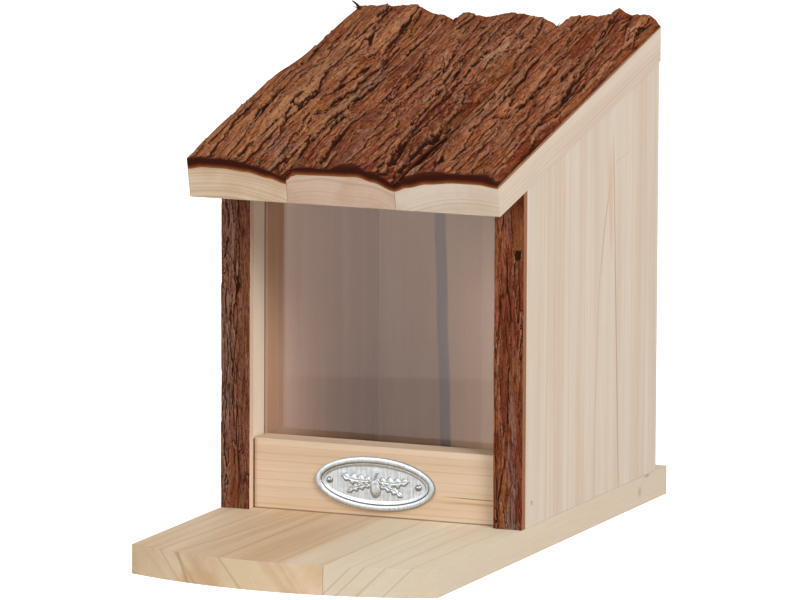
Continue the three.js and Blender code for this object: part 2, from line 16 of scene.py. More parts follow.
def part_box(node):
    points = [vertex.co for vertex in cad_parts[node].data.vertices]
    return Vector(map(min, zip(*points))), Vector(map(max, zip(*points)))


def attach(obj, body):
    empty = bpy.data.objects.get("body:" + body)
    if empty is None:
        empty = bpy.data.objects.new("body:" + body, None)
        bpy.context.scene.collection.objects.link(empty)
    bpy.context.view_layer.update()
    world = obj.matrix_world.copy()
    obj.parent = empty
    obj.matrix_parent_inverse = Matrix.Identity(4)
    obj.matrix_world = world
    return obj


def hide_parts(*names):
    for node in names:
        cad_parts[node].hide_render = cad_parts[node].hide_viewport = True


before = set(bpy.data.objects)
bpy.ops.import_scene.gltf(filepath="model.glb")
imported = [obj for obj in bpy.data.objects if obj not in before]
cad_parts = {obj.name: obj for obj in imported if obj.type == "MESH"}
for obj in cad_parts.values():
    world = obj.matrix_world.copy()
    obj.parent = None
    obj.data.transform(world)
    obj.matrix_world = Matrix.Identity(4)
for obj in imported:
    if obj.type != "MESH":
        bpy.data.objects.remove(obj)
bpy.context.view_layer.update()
MM = 0.001

# %% [markdown]
# ## The camera
# The photograph was taken from far away with a long lens, so parallel edges stay almost parallel.
# The place comes from the angles of the box's edges: 22 degrees round to the right and 9 degrees
# up. A 450 mm lens four metres away shows the object at the same size and with the same
# perspective.

# %% Camera
AZIMUTH, ELEVATION, ROLL = (math.radians(angle) for angle in (22.24, 9.12, 0.285))
TARGET, DISTANCE = Vector((-0.065, 0.41, 97.44)) * MM, 4073 * MM
LENS_MM, NEAREST, FARTHEST = 450, 0.1, 60

away = Vector((math.sin(AZIMUTH) * math.cos(ELEVATION), -math.cos(AZIMUTH) * math.cos(ELEVATION),
               math.sin(ELEVATION)))
level_right = Vector((math.cos(AZIMUTH), math.sin(AZIMUTH), 0))
level_up = away.cross(level_right)
right = level_right * math.cos(ROLL) + level_up * math.sin(ROLL)
up = away.cross(right)

camera = bpy.data.objects.new("camera", bpy.data.cameras.new("camera"))
bpy.context.scene.collection.objects.link(camera)
camera.data.lens = LENS_MM
camera.data.clip_start, camera.data.clip_end = NEAREST, FARTHEST
turned = Matrix((right, up, away)).transposed().to_4x4()
camera.matrix_world = Matrix.Translation(TARGET + away * DISTANCE) @ turned
bpy.context.scene.camera = camera
bpy.context.scene.view_settings.view_transform = "Standard"
print("camera at", [round(value, 3) for value in camera.matrix_world.translation])

# %% [markdown]
# ## Colours and nodes
# Hex colours are read off as the eye sees them, and Blender's shaders want linear light, so one
# function turns the one into the other. A second small function adds a node to a material. A
# setting can be a plain value, or another node or one of its outputs, which is then linked.


# %% Two helpers for materials
def linear(hex_colour):
    """sRGB hex to linear RGBA."""
    channels = [int(hex_colour[at:at + 2], 16) / 255 for at in (1, 3, 5)]
    return [c / 12.92 if c <= 0.04045 else ((c + 0.055) / 1.055) ** 2.4 for c in channels] + [1]


def add_node(tree, kind, settings):
    """Adds a node; a setting is a property by name, an input by name or number, or a ramp's stops."""
    node = tree.nodes.new("ShaderNode" + kind)
    named = [key for key in settings if isinstance(key, str) and hasattr(node, key)]
    for key in named + [key for key in settings if key not in named]:
        value = settings[key]
        if isinstance(value, bpy.types.Node):
            value = value.outputs[0]
        if key == "stops":
            for position, colour in value[2:]:
                node.color_ramp.elements.new(position)
            for stop, (position, colour) in zip(node.color_ramp.elements, value):
                stop.position, stop.color = position, linear(colour)
        elif key in named:
            setattr(node, key, value)
        elif isinstance(value, bpy.types.NodeSocket):
            tree.links.new(value, node.inputs[key])
        else:
            node.inputs[key].default_value = value
    return node


# Settings that many nodes share: a colour laid over another by a share from 0 to 1, a share that
# eases in and out, and the two sums that the shares need most
OVERLAY = {"data_type": "RGBA", "clamp_factor": True}
EASED = {"interpolation_type": "SMOOTHSTEP"}
TIMES, TIMES_PLUS = {"operation": "MULTIPLY"}, {"operation": "MULTIPLY_ADD"}


def new_tree(name):
    """A material with an empty node tree."""
    material = bpy.data.materials.new(name)
    material.use_nodes = True
    material.node_tree.nodes.clear()
    return material, material.node_tree


print("pine in linear light:", [round(value, 3) for value in linear("#d8c6b0")])

# %% [markdown]
# ## A white studio
# The photograph was lit from all round by large white surfaces, so no side of the box is dark and
# the shadows are faint. A pale world gives most of that light. A big key lamp at the front right
# and a weak one overhead give the bark and the roof's edge some shape, and a small fill lamp at
# the front left lights the left wall's inside. Together they light a surface at about 1, so a
# colour renders as it is written. World and floor are white for the camera and in reflections
# only, which adds no light.
#
# The window mirrors the table that the feeder stands on, up to its edge 0.4 m in front, and a
# brighter white past it. That edge is the faint level line across the window.

# %% World, floor and lamps
WORLD_LIGHT, FLOOR_GLOW, TABLE_GLOW = 0.42, 0.8, 1.3
TABLE_EDGE_Y, TABLE_EDGE_SLANT, FLOOR_SIZE = -0.4306, 0.327, 40
WHITE = (1, 1, 1, 1)


def seen_share(tree, path):
    """1 for rays that show a surface to the camera, straight or in a clear or shiny piece."""
    share = path.outputs["Is Camera Ray"]
    for ray in ("Is Glossy Ray", "Is Transmission Ray"):
        share = add_node(tree, "Math", {"operation": "MAXIMUM", 0: share, 1: path.outputs[ray]})
    return share


world = bpy.data.worlds.new("studio")
bpy.context.scene.world = world
world.use_nodes = True
tree = world.node_tree
tree.nodes.clear()
seen = seen_share(tree, add_node(tree, "LightPath", {}))
room = add_node(tree, "Background", {"Color": linear("#fbfcff"), "Strength": WORLD_LIGHT})
white = add_node(tree, "Background", {"Color": WHITE, "Strength": 1.0})
mixed = add_node(tree, "MixShader", {0: seen, 1: room, 2: white})
add_node(tree, "OutputWorld", {"Surface": mixed})

floor_material, tree = new_tree("white_studio_floor")
path = add_node(tree, "LightPath", {})
paper = add_node(tree, "BsdfDiffuse", {"Color": (0.78, 0.78, 0.78, 1)})
glow = add_node(tree, "Emission", {"Color": WHITE, "Strength": FLOOR_GLOW})
bright = add_node(tree, "AddShader", {0: paper, 1: glow})
place = add_node(tree, "SeparateXYZ", {0: add_node(tree, "TexCoord", {}).outputs["Object"]})
toward = add_node(tree, "Math", {
    **TIMES_PLUS, 0: place.outputs["X"], 1: TABLE_EDGE_SLANT, 2: place.outputs["Y"]})
table = add_node(tree, "Math", {"operation": "GREATER_THAN", 0: toward, 1: TABLE_EDGE_Y})
mirrored = add_node(tree, "Math", {**TIMES, 0: table, 1: path.outputs["Is Glossy Ray"]})
near_table = add_node(tree, "Emission", {"Color": WHITE, "Strength": TABLE_GLOW})
bright = add_node(tree, "MixShader", {0: mirrored, 1: bright, 2: near_table})
mixed = add_node(tree, "MixShader", {0: seen_share(tree, path), 1: paper, 2: bright})
add_node(tree, "OutputMaterial", {"Surface": mixed})

bpy.ops.mesh.primitive_plane_add(size=FLOOR_SIZE, location=(0, 0, 0))
floor = bpy.context.object
floor.name = "studio_floor"
floor.data.materials.append(floor_material)


def soft_lamp(name, place, size, power):
    """A square studio lamp that looks at the feeder."""
    light = bpy.data.lights.new(name, "AREA")
    light.energy, light.size = power, size
    lamp = bpy.data.objects.new(name, light)
    bpy.context.scene.collection.objects.link(lamp)
    lamp.location = place
    lamp.rotation_euler = (Vector((0, 0, 0.1)) - lamp.location).to_track_quat("-Z", "Y").to_euler()


soft_lamp("key_lamp", (2.25, -1.45, 1.75), 1.2, 66)
soft_lamp("top_lamp", (0.2, -0.9, 2.8), 1.6, 12)
soft_lamp("fill_lamp", (-0.86, -2.8, 0.9), 0.6, 25)

# %% [markdown]
# ## Planed softwood
# The boards are sawn and planed spruce or pine. A board is a slice of a tree, so its figure is the
# tree's growth rings cut by the board's faces. A flat picture of grain would break at the edges,
# so the rings are made in three dimensions: the material measures the distance from the line of
# the pith, which lies somewhere outside the board, and paints a thin dark line for each ring's
# late wood. The same material then gives straight lines on a face and curved ones on an end.
#
# Wandering noise keeps the rings from being perfect, a stretched fine noise gives the fibres, and
# a slow one the broad warm and pale bands. Strong marks that stand out on the real boards, such as
# a dark ring, a brown band or a crack, are placed one by one as streaks.


# %% Growth rings and fibres
def board_place(tree, axes, slope=0.0):
    """Along, across and through the board, in mm, from the object's own coordinates."""
    turned = add_node(tree, "Mapping", {
        "vector_type": "POINT", "Vector": add_node(tree, "TexCoord", {}).outputs["Object"],
        "Rotation": (-slope, 0, 0), "Scale": (1 / MM, 1 / MM, 1 / MM)})
    parts = add_node(tree, "SeparateXYZ", {0: turned})
    return [parts.outputs["XYZ".index(axis)] for axis in axes]


def stretched_noise(tree, parts, lengths, seed, detail=2.0, roughness=0.5):
    """Noise whose features are as long, as wide and as deep as the lengths say, in mm."""
    scaled = [add_node(tree, "Math", {**TIMES_PLUS, 0: part, 1: 1 / length, 2: seed})
              for part, length in zip(parts, lengths)]
    vector = add_node(tree, "CombineXYZ", dict(enumerate(scaled)))
    return add_node(tree, "TexNoise", {
        "Vector": vector, "Scale": 1.0, "Detail": detail, "Roughness": roughness}).outputs["Fac"]


def ring_count(tree, parts, pith, ring, wander, seed):
    """How many rings lie between the pith and here."""
    drift = stretched_noise(tree, parts, (160, 30, 30), seed, detail=1.0)
    bend = add_node(tree, "Math", {**TIMES_PLUS, 0: drift, 1: wander, 2: -wander / 2})
    sides = [add_node(tree, "Math", {"operation": "SUBTRACT", 0: part, 1: middle})
             for part, middle in zip(parts[1:], pith)]
    flat = add_node(tree, "CombineXYZ", dict(enumerate(sides)))
    distance = add_node(tree, "VectorMath", {"operation": "LENGTH", 0: flat}).outputs["Value"]
    bent = add_node(tree, "Math", {"operation": "ADD", 0: distance, 1: bend})
    return add_node(tree, "Math", {"operation": "DIVIDE", 0: bent, 1: ring})


def late_wood(tree, rings, seed):
    """The dark line of each ring, from 0 to 1, stronger in some rings than in others."""
    uneven = add_node(tree, "TexNoise", {"noise_dimensions": "1D", "W": rings, "Scale": 0.55, "Detail": 2.0})
    count = add_node(tree, "Math", {**TIMES_PLUS, 0: uneven.outputs["Fac"], 1: 2.6, 2: rings})
    share = add_node(tree, "Math", {"operation": "FRACT", 0: count})
    whole = add_node(tree, "Math", {"operation": "FLOOR", 0: count})
    rise = add_node(tree, "MapRange", {**EASED, "Value": share, "From Min": 0.35, "From Max": 0.9})
    fall = add_node(tree, "MapRange", {**EASED, "Value": share, "From Min": 1.0, "From Max": 0.92})
    line = add_node(tree, "Math", {**TIMES, 0: rise, 1: fall})
    shifted = add_node(tree, "Math", {"operation": "ADD", 0: whole, 1: seed})
    chance = add_node(tree, "TexWhiteNoise", {"noise_dimensions": "1D", "W": shifted}).outputs["Value"]
    strength = add_node(tree, "MapRange", {"Value": chance, "To Min": 0.2, "To Max": 1.0})
    return add_node(tree, "Math", {**TIMES, 0: line, 1: strength})


def streak(tree, parts, base, at, width, colour, strength, slant=0, bow=0, lean=0, start=0, widen=0,
           wobble=0.8, core=0.2, span=(-1000, 1000), fade=12, face=None):
    """Lays one placed mark over the base colour: a line or band along the board."""
    along, across, through = parts
    run = add_node(tree, "Math", {"operation": "SUBTRACT", 0: along, 1: start})
    square = add_node(tree, "Math", {**TIMES, 0: run, 1: run})
    curved = add_node(tree, "Math", {**TIMES_PLUS, 0: square, 1: bow, 2: at})
    line = add_node(tree, "Math", {**TIMES_PLUS, 0: run, 1: slant, 2: curved})
    leaning = add_node(tree, "Math", {**TIMES_PLUS, 0: through, 1: lean, 2: across})
    noise = stretched_noise(tree, parts, (18, 60, 60), seed=at)
    wobbled = add_node(tree, "Math", {**TIMES_PLUS, 0: noise, 1: wobble, 2: leaning})
    off = add_node(tree, "Math", {"operation": "SUBTRACT", 0: wobbled, 1: line})
    off = add_node(tree, "Math", {"operation": "ABSOLUTE", 0: off})
    half = add_node(tree, "Math", {**TIMES_PLUS, 0: run, 1: widen, 2: width / 2})
    share = add_node(tree, "MapRange", {
        **EASED, "Value": off, "From Min": half, "From Max": width / 2 * core, "To Max": strength})
    inside = [add_node(tree, "MapRange", {**EASED, "Value": along, "From Min": outer, "From Max": inner})
              for outer, inner in ((span[0] - fade, span[0] + fade), (span[1] + fade, span[1] - fade))]
    inside = add_node(tree, "Math", {**TIMES, 0: inside[0], 1: inside[1]})
    share = add_node(tree, "Math", {**TIMES, 0: share, 1: inside, "use_clamp": True})
    if face:
        normal = add_node(tree, "NewGeometry", {}).outputs["Normal"]
        facing = add_node(tree, "VectorMath", {"operation": "DOT_PRODUCT", 0: normal, 1: face})
        share = add_node(tree, "Math", {**TIMES, 0: share, 1: facing.outputs["Value"], "use_clamp": True})
    return add_node(tree, "Mix", {**OVERLAY, 0: share, 6: base, 7: linear(colour)}).outputs[2]


def softwood(name, axes, early, late, warm, ring, pith, seed, wander=5.0, slope=0.0, streaks=(),
             contrast=0.6, end_shade=0.88):
    """A planed softwood board; its colours are the early wood, the late wood and the warm bands."""
    material, tree = new_tree(name)
    parts = board_place(tree, axes, slope)
    line = late_wood(tree, ring_count(tree, parts, pith, ring, wander, seed), seed)
    band = stretched_noise(tree, parts, (220, 13, 13), seed + 3.7)
    band = add_node(tree, "MapRange", {**EASED, "Value": band, "From Min": 0.36, "From Max": 0.68})
    ringed = add_node(tree, "Math", {**TIMES, 0: line, 1: contrast})
    colour = linear(early)
    for share, tint in ((band, warm), (ringed, late)):
        colour = add_node(tree, "Mix", {**OVERLAY, 0: share, 6: colour, 7: linear(tint)}).outputs[2]
    for mark in streaks:
        colour = streak(tree, parts, colour, **mark)
    # Fibres are 0.1 mm wide in the real wood; 0.6 mm is the finest that shows at this size
    fibre = stretched_noise(tree, parts, (22, 0.6, 0.6), seed, detail=3.0, roughness=0.65)
    fleck = add_node(tree, "MapRange", {
        "Value": fibre, "From Min": 0.3, "From Max": 0.7, "To Min": 0.945, "To Max": 1.035})
    # Sawn ends drink in light, so they look darker than the faces
    facing = add_node(tree, "SeparateXYZ", {0: add_node(tree, "NewGeometry", {}).outputs["Normal"]})
    facing = add_node(tree, "Math", {"operation": "ABSOLUTE", 0: facing.outputs[axes[0]]})
    ends = add_node(tree, "MapRange", {
        "Value": facing, "From Min": 0.6, "From Max": 0.9, "To Min": 1.0, "To Max": end_shade})
    fleck = add_node(tree, "Math", {**TIMES, 0: fleck, 1: ends})
    shade = add_node(tree, "VectorMath", {"operation": "SCALE", 0: colour, "Scale": fleck})
    # Late wood is harder and smoother, and stands a little proud of the planed face
    rough = add_node(tree, "MapRange", {"Value": line, "To Min": 0.68, "To Max": 0.56})
    height = add_node(tree, "Math", {**TIMES_PLUS, 0: line, 1: 0.5, 2: fibre})
    # Sanded edges are rounded by half a millimetre, which catches a thin light
    rounded = add_node(tree, "Bevel", {"samples": 6, "Radius": 0.5 * MM})
    bump = add_node(tree, "Bump", {
        "Strength": 0.25, "Distance": 0.12 * MM, "Height": height, "Normal": rounded})
    wood = add_node(tree, "BsdfPrincipled", {
        "Base Color": shade, "Roughness": rough, "IOR": 1.45, "Specular IOR Level": 0.35, "Normal": bump})
    add_node(tree, "OutputMaterial", {"Surface": wood})
    return material


def dress(node, material):
    """Gives a CAD node its finished material."""
    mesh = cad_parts[node].data
    mesh.materials.clear()
    mesh.materials.append(material)


# %% [markdown]
# ## The base boards
# Two boards glued edge to edge make the base. The left one is darker, with broad brown bands that
# run to the back and a cream zone beside the joint, and its rings stand steeply in the front end.
# The right one is pale, with wide rings that lean the other way. The bow was sawn across both, so
# the end grain shows all along it.
#
# Each mark says where it lies across the board, how it slants and leans, how wide and strong it
# is, and on which face it shows if not on all. Marks that share settings share one dictionary.

# %% Materials of the base
FRONT, TOP, RIGHT_FACE = (0, -1, 0), (0, 0, 1), (1, 0, 0)
steep = dict(lean=0.84, start=-60)
left_marks = [
    dict(at=13.5, width=22, core=0.5, colour="#dac8ae", strength=0.78, face=TOP, wobble=1.2),
    dict(at=-6, lean=0.5, width=34, core=0.5, colour="#d2bd9b", strength=0.7, face=FRONT),
    dict(at=-52, lean=0.5, width=24, core=0.5, colour="#d2bb97", strength=0.55, face=FRONT),
    dict(at=-37.3, lean=0.41, width=2.4, colour="#a0784c", strength=0.5, face=FRONT),
    dict(steep, at=-37.5, slant=0.05, width=2.2, colour="#a68464", strength=0.3),
    dict(steep, at=-25.5, slant=0.11, bow=-0.0004, width=1.8, colour="#99714f", strength=0.3, start=-70),
    dict(steep, at=-19.0, slant=0.08, width=9.0, colour="#b5926e", strength=0.38),
    dict(steep, at=-10.5, slant=0.03, width=2.2, colour="#a68464", strength=0.4),
    dict(steep, at=8.5, slant=0.02, width=8.0, colour="#be9a74", strength=0.5),
]
base_left = softwood("planed_pine_base_left", "YXZ", "#d4bd9f", "#b08d68", "#c9a983", ring=5.5,
                     pith=(-122, -71), wander=7, streaks=left_marks, seed=1.3, contrast=0.38, end_shade=0.93)
# The same four rings show on the end and, fainter, on the top
right_marks = [
    dict(look, at=at, slant=0.01, lean=-0.97, start=-100)
    for look in (dict(width=1.3, colour="#a98863", strength=0.45, face=FRONT),
                 dict(width=1.6, colour="#b5967a", strength=0.24, face=TOP, bow=0.0004))
    for at in (22.3, 27.8, 36.0, 46.0)]
# Painted shade makes the side face greyer and darker than the planed top, and a knot lies near
# its rear end
right_marks += [
    dict(at=0, width=400, core=0.95, colour="#cbb9a3", strength=0.75, face=RIGHT_FACE),
    dict(at=60.2, lean=-1, width=5.5, colour="#8a5f3a", strength=0.6, span=(102, 104), fade=2.4, wobble=0.5),
    dict(at=54.6, lean=-1, width=2.6, colour="#8d6a4c", strength=0.5, span=(109, 114), fade=2, wobble=0.5)]
base_right = softwood("planed_pine_base_right", "YXZ", "#e0d0b8", "#cdb190", "#dccab0", ring=6.2,
                      pith=(-38, 90), wander=4, streaks=right_marks, seed=4.1, contrast=0.25, end_shade=0.79)
dress("base_left_board", base_left)
dress("base_right_board", base_right)
print("base marks:", len(left_marks) + len(right_marks))

# %% [markdown]
# ## The walls, the back and the rail
# The walls' grain stands upright. On the right wall two dark rings meet in a tall flame, where the
# face just cuts the top of a ring, and a reddish tint fills its tip. Inside the left wall, the pale
# colour of the wood and a painted highlight light the jamb in front of the clear sheet, painted
# shade darkens the wood behind it, more so low down, and a painted shadow in the groove that holds
# the sheet is a dark line between the two. The rail's grain runs across, with a fine crack near its
# right end and a shadow line where it meets the base. The back panel, seen through the clear sheet,
# has a grey-blue streak of the stain that grows in felled pine.

# %% Materials of the walls, the back and the rail
wall_marks = [
    dict(at=67.5, slant=-0.05, width=7, widen=0.04, colour="#cfa084", strength=0.5, start=135,
         span=(112, 152), fade=9),
    dict(at=60.0, slant=0.28, bow=0.0035, width=2.0, colour="#b08a70", strength=0.6, start=121.7,
         span=(104, 138), fade=7, wobble=0.3),
    dict(at=51.2, slant=0.035, bow=0.0007, width=1.6, colour="#b9977c", strength=0.6, start=50,
         span=(8, 104), fade=7, wobble=0.3),
    dict(at=74.2, slant=-0.0585, width=1.7, colour="#ad8468", strength=0.7, start=83.3, span=(8, 158),
         wobble=0.4),
    dict(at=-3.0, slant=0.01, width=3.4, colour="#c9ac86", strength=0.55, start=80),
    dict(at=5.0, width=2.0, colour="#caa98c", strength=0.5, start=80),
    dict(at=72.0, slant=7.2, width=4.5, colour="#a89484", strength=0.4, start=148.5, span=(148.6, 150.9),
         fade=0.3, wobble=3),
]
wall_marks += [
    dict(at=at, slant=0.004, width=width, colour=tint, strength=0.42, start=80)
    for at, width, tint in ((-11, 1.2, "#c9b08f"), (-7.2, 1.0, "#c6a98d"), (10, 1.4, "#c8aa8e"),
                            (14.5, 1.0, "#c2a08a"), (21, 2.2, "#c9ad90"), (26, 1.0, "#c6a690"),
                            (33, 2.4, "#ccb08f"), (38.5, 1.1, "#c4a48c"), (45, 1.6, "#cdb197"),
                            (84, 1.2, "#c8aa92"), (92, 2.6, "#cdb296"), (101, 1.2, "#c3a28b"),
                            (107, 1.8, "#c4a389"), (113, 1.3, "#c8a88e"), (118, 1.2, "#c5a58a"))]
right_wall = softwood("planed_pine_right_wall", "ZYX", "#d3c4b2", "#c3ab95", "#cdb9a3", ring=3.1,
                      pith=(70, -160), wander=2.4, streaks=wall_marks, seed=2.2, contrast=0.35)
inside = dict(face=RIGHT_FACE, wobble=0)
painted_shade_behind_sheet = dict(inside, at=62, width=146, core=0.98)
painted_shade_and_light_inside = [
    # Painted shade over the wood behind the clear sheet, and more of it low down
    dict(painted_shade_behind_sheet, colour="#a17c5c", strength=0.42),
    dict(painted_shade_behind_sheet, colour="#80624a", strength=0.3, span=(12, 60), fade=30),
    # A painted highlight on the jamb in front of the sheet, and a painted shadow in the sheet's groove
    dict(inside, at=-19.5, width=14.5, core=0.9, colour="#fff0dc", strength=0.5),
    dict(inside, at=-13.2, width=1.8, core=0.5, colour="#4f3522", strength=0.85)]
# Its pale colours are partly painted light, which brightens the jamb in front of the sheet
left_wall = softwood("planed_pine_left_wall", "ZYX", "#eed8c4", "#d0ad8e", "#e5caaf", ring=3.3,
                     pith=(20, 120), wander=3, streaks=painted_shade_and_light_inside, seed=7.9, contrast=0.4)
stain = [dict(at=-25.2, slant=-0.031, width=6.0, core=0.6, colour="#7d8595", strength=0.9, start=90,
              wobble=1.0, face=FRONT)]
back_wood = softwood("planed_pine_back_panel", "ZXY", "#dccdb8", "#c4a98c", "#d6c1a8", ring=4.0,
                     pith=(-30, 190), wander=4, streaks=stain, seed=5.5, contrast=0.4)
rail_marks = [
    dict(at=22.6, slant=-0.012, width=0.5, colour="#5f3d26", strength=0.9, start=45, span=(34, 60), fade=7,
         wobble=0.5),
    dict(at=20.6, width=1.4, colour="#b98b62", strength=0.6, start=45, span=(30, 60), fade=8),
    dict(at=12.3, width=1.1, core=0.5, colour="#5c4028", strength=0.65, wobble=0.3),
]
rail_marks += [
    dict(at=at, slant=0.004, width=width, colour="#b98f66", strength=0.75 * strength)
    for at, width, strength in ((14.5, 1.0, 0.45), (17.5, 0.8, 0.3), (24.8, 0.8, 0.4), (28.2, 1.0, 0.35),
                                (32.6, 0.9, 0.45), (35.7, 1.0, 0.4), (38.6, 0.8, 0.35))]
rail_wood = softwood("planed_pine_rail", "XZY", "#d7c0a8", "#bd9c7b", "#d0b595", ring=2.6,
                     pith=(-30, 160), wander=2.5, streaks=rail_marks, seed=6.4, contrast=0.4)
for node, wood in (("right_side_wall", right_wall), ("left_side_wall", left_wall),
                   ("back_panel", back_wood), ("front_rail", rail_wood)):
    dress(node, wood)
print("wall marks:", len(wall_marks), "rail marks:", len(rail_marks))

# %% [markdown]
# ## The roof boards
# Each roof board is a slab sawn from the outside of a log, so its rings run parallel to the bark:
# they bend over like the waney top. The pith is far below each board, and the material's frame is
# turned with the slope of the roof.

# %% Materials of the roof boards
SLOPE = math.radians(12.75)
EAVES_Y, EAVES_Z, REAR_Y = -57.5, 143.8, 121.5
UNDERSIDE = EAVES_Z * math.cos(SLOPE) - EAVES_Y * math.sin(SLOPE)
# The side, the three colours, and the rings: their width, the pith, and the wander, seed and contrast
SLAB_WOODS = (("left", ("#d3bda2", "#a98563", "#cbaf90"), 1.9, (-55, -74), 2.2, 11.2, 0.62),
              ("middle", ("#cab09b", "#aa8168", "#c3a48c"), 1.8, (-6, -60), 7.0, 12.7, 0.6),
              ("right", ("#d5c4b2", "#b79a7e", "#ceb9a3"), 2.7, (55, -66), 1.4, 13.9, 0.45))
for name, colours, ring, (pith_x, below), wander, seed, contrast in SLAB_WOODS:
    wood = softwood("sawn_pine_" + name + "_slab", "YXZ", *colours, ring=ring, slope=SLOPE,
                    pith=(pith_x, UNDERSIDE + below), wander=wander, seed=seed, contrast=contrast)
    dress(name + "_roof_slab", wood)
print("underside of the roof is", round(UNDERSIDE, 1), "mm up in the roof's own frame")

# %% [markdown]
# ## Noise for the bark
# Bark can't be bought as a flat texture: its plates and furrows make the roof's outline. It is
# modelled as a relief, a sheet of points moved up and down. Its shapes come from two kinds of
# noise: a smooth one that wanders, and one made of cells, whose borders are the furrows between
# plates. Both are worked out from whole numbers, so they come out the same each time.


# %% Noise helpers
def scatter(column, row, seed):
    """Repeatable random numbers from 0 to 1, one for each whole column and row."""
    mixed = column.astype(np.int64) * 374761393 + row.astype(np.int64) * 668265263 + seed * 1442695041
    mixed = (mixed ^ (mixed >> 13)) & 0xFFFFFFFF
    mixed = (mixed * 1274126177) & 0xFFFFFFFF
    mixed = (mixed ^ (mixed >> 16)) & 0xFFFFFFFF
    return mixed / 0xFFFFFFFF


def smooth_noise(across, along, seed):
    """Noise from -0.5 to 0.5 with one bump for each unit."""
    column, row = np.floor(across), np.floor(along)
    u, v = across - column, along - row
    u, v = u ** 3 * (u * (u * 6 - 15) + 10), v ** 3 * (v * (v * 6 - 15) + 10)
    near = scatter(column, row, seed) * (1 - u) + scatter(column + 1, row, seed) * u
    far = scatter(column, row + 1, seed) * (1 - u) + scatter(column + 1, row + 1, seed) * u
    return near * (1 - v) + far * v - 0.5


def rough_noise(across, along, octaves, seed):
    """Smooth noise with finer layers of it on top."""
    layers = ((at, 2 ** at) for at in range(octaves))
    return sum(smooth_noise(across * fine + 17.3 * at, along * fine, seed + at) / fine for at, fine in layers)


def smoothstep(low, high, value):
    """0 below the low value, 1 above the high one, and a soft step between them."""
    share = np.clip((value - low) / (high - low), 0, 1)
    return share * share * (3 - 2 * share)


def plates(across, along, seed, jitter):
    """Cells like bark plates: how far a point is from the cell's border, a number for the cell,
    and where in the cell the point is."""
    column, row = np.floor(across), np.floor(along)
    first, second = np.full(across.shape, 9.0), np.full(across.shape, 9.0)
    tone, inside_x, inside_y = (np.zeros(across.shape) for _ in range(3))
    for step_x in (-1, 0, 1):
        for step_y in (-1, 0, 1):
            c, r = column + step_x, row + step_y
            from_x = across - c - 0.5 - jitter * (scatter(c, r, seed) - 0.5)
            from_y = along - r - 0.5 - jitter * (scatter(c, r, seed + 1) - 0.5)
            gap = np.hypot(from_x, from_y)
            closer = gap < first
            second = np.where(closer, first, np.minimum(second, gap))
            tone = np.where(closer, scatter(c, r, seed + 2), tone)
            inside_x, inside_y = np.where(closer, from_x, inside_x), np.where(closer, from_y, inside_y)
            first = np.where(closer, gap, first)
    return second - first, tone, inside_x, inside_y


print("noise sample:", round(float(smooth_noise(np.array([3.2]), np.array([1.7]), 5)[0]), 4))

# %% [markdown]
# ## The relief of the bark
# Old bark splits as the trunk grows: long ridges with furrows between them, broken into plates
# that lie over each other like shingles, and on each plate flakes and crumbs. The CAD model
# already holds the broad ridges and the main furrows. Here the finer layers are laid on it, from
# coarse to fine: three sizes of flake, each a cell that is tilted so that its lower end stands
# proud, then torn roughness and crumbs. The borders of the cells are bent by a torn noise, since
# bark never breaks along a smooth line. The dark cracks that the eye finds first are placed one
# by one, by their ends, their width and their depth.


# %% Layers of bark relief
def carve(across, along, height, cracks, torn, seed):
    """Cuts placed cracks, each from one point to another, uneven and closed at the ends."""
    hollow = np.zeros(height.shape)
    for at, (x0, s0, x1, s1, width, depth) in enumerate(cracks):
        run = np.hypot(x1 - x0, s1 - s0)
        share = ((across - x0) * (x1 - x0) + (along - s0) * (s1 - s0)) / run ** 2
        off = ((across - x0) * (s1 - s0) - (along - s0) * (x1 - x0)) / run
        here, line = share * run, share * 0 + at
        off = off + 2.0 * smooth_noise(here / 17, line, seed) + 1.2 * torn
        uneven = (0.8 + 1.1 * smooth_noise(here / 8, line, seed + 5)
                  + 0.7 * smooth_noise(here / 3, line, seed + 9))
        wide = 0.5 * width * uneven * np.sqrt(np.clip(4 * share * (1 - share), 0, 1))
        groove = smoothstep(1.2, 0.1, np.abs(off) / np.maximum(wide, 0.01)) * ((share > 0) & (share < 1))
        height = height - depth * groove * np.clip(0.45 + uneven / 2, 0, 1)
        hollow = np.maximum(hollow, groove)
    return height, hollow


# Each size of flake: how wide, how long, its step and its tilt in mm, and its share of the tone
FLAKES = ((8.0, 72, 1.4, 1.2, 0.42), (4.4, 44, 0.75, 0.7, 0.32), (2.0, 26, 0.3, 0.3, 0.18))


def bark_relief(across, along, seed, pitch, granular, cracks):
    """The fine height of the bark, its tones and its cracks, for points in mm."""
    warp = 3.0 * smooth_noise(across / 19, along / 75, seed)
    warp = warp + 1.2 * smooth_noise(across / 7, along / 24, seed + 7)
    torn = rough_noise(across / 2.0, along / 8, 4, seed + 51)
    splinter = rough_noise(across / 1.1, along / 7, 3, seed + 57)
    edge, level, _, _ = plates((across + warp + 0.8 * torn) / pitch, along / 80, seed + 11, 0.8)
    furrow = 1 - smoothstep(0.0, 0.12, edge)
    furrow = furrow * smoothstep(0.0, 0.25, smooth_noise(across / 11, along / 30, seed + 13))
    height, tone = 0.5 * (level - 0.5) - 1.1 * furrow, 0.25 * level
    for at, (wide, long, step, lift, share) in enumerate(FLAKES):
        bent = across + 0.9 * warp + 0.13 * wide * torn + 0.15 * splinter
        slid = along + 0.22 * long * torn + 0.1 * long * splinter
        _, level, inside_x, inside_y = plates(bent / wide, slid / long, seed + 17 + 13 * at, 0.95)
        height = height + step * (level - 0.5) + lift * (inside_y + 0.5 * inside_x)
        tone = tone + share * level
    height = height + 0.45 * rough_noise((across + 0.5 * warp) / 3.2, along / 22, 4, seed + 37)
    height = height + 0.22 * rough_noise((across + 0.9 * warp + 0.3 * torn) / 0.9, along / 16, 2, seed + 39)
    height = height + granular * rough_noise(across / 1.6, along / 3.2, 3, seed + 41)
    height, placed = carve(across, along, height, cracks, torn, seed + 70)
    return height, tone, np.maximum(furrow * 0.6, placed)
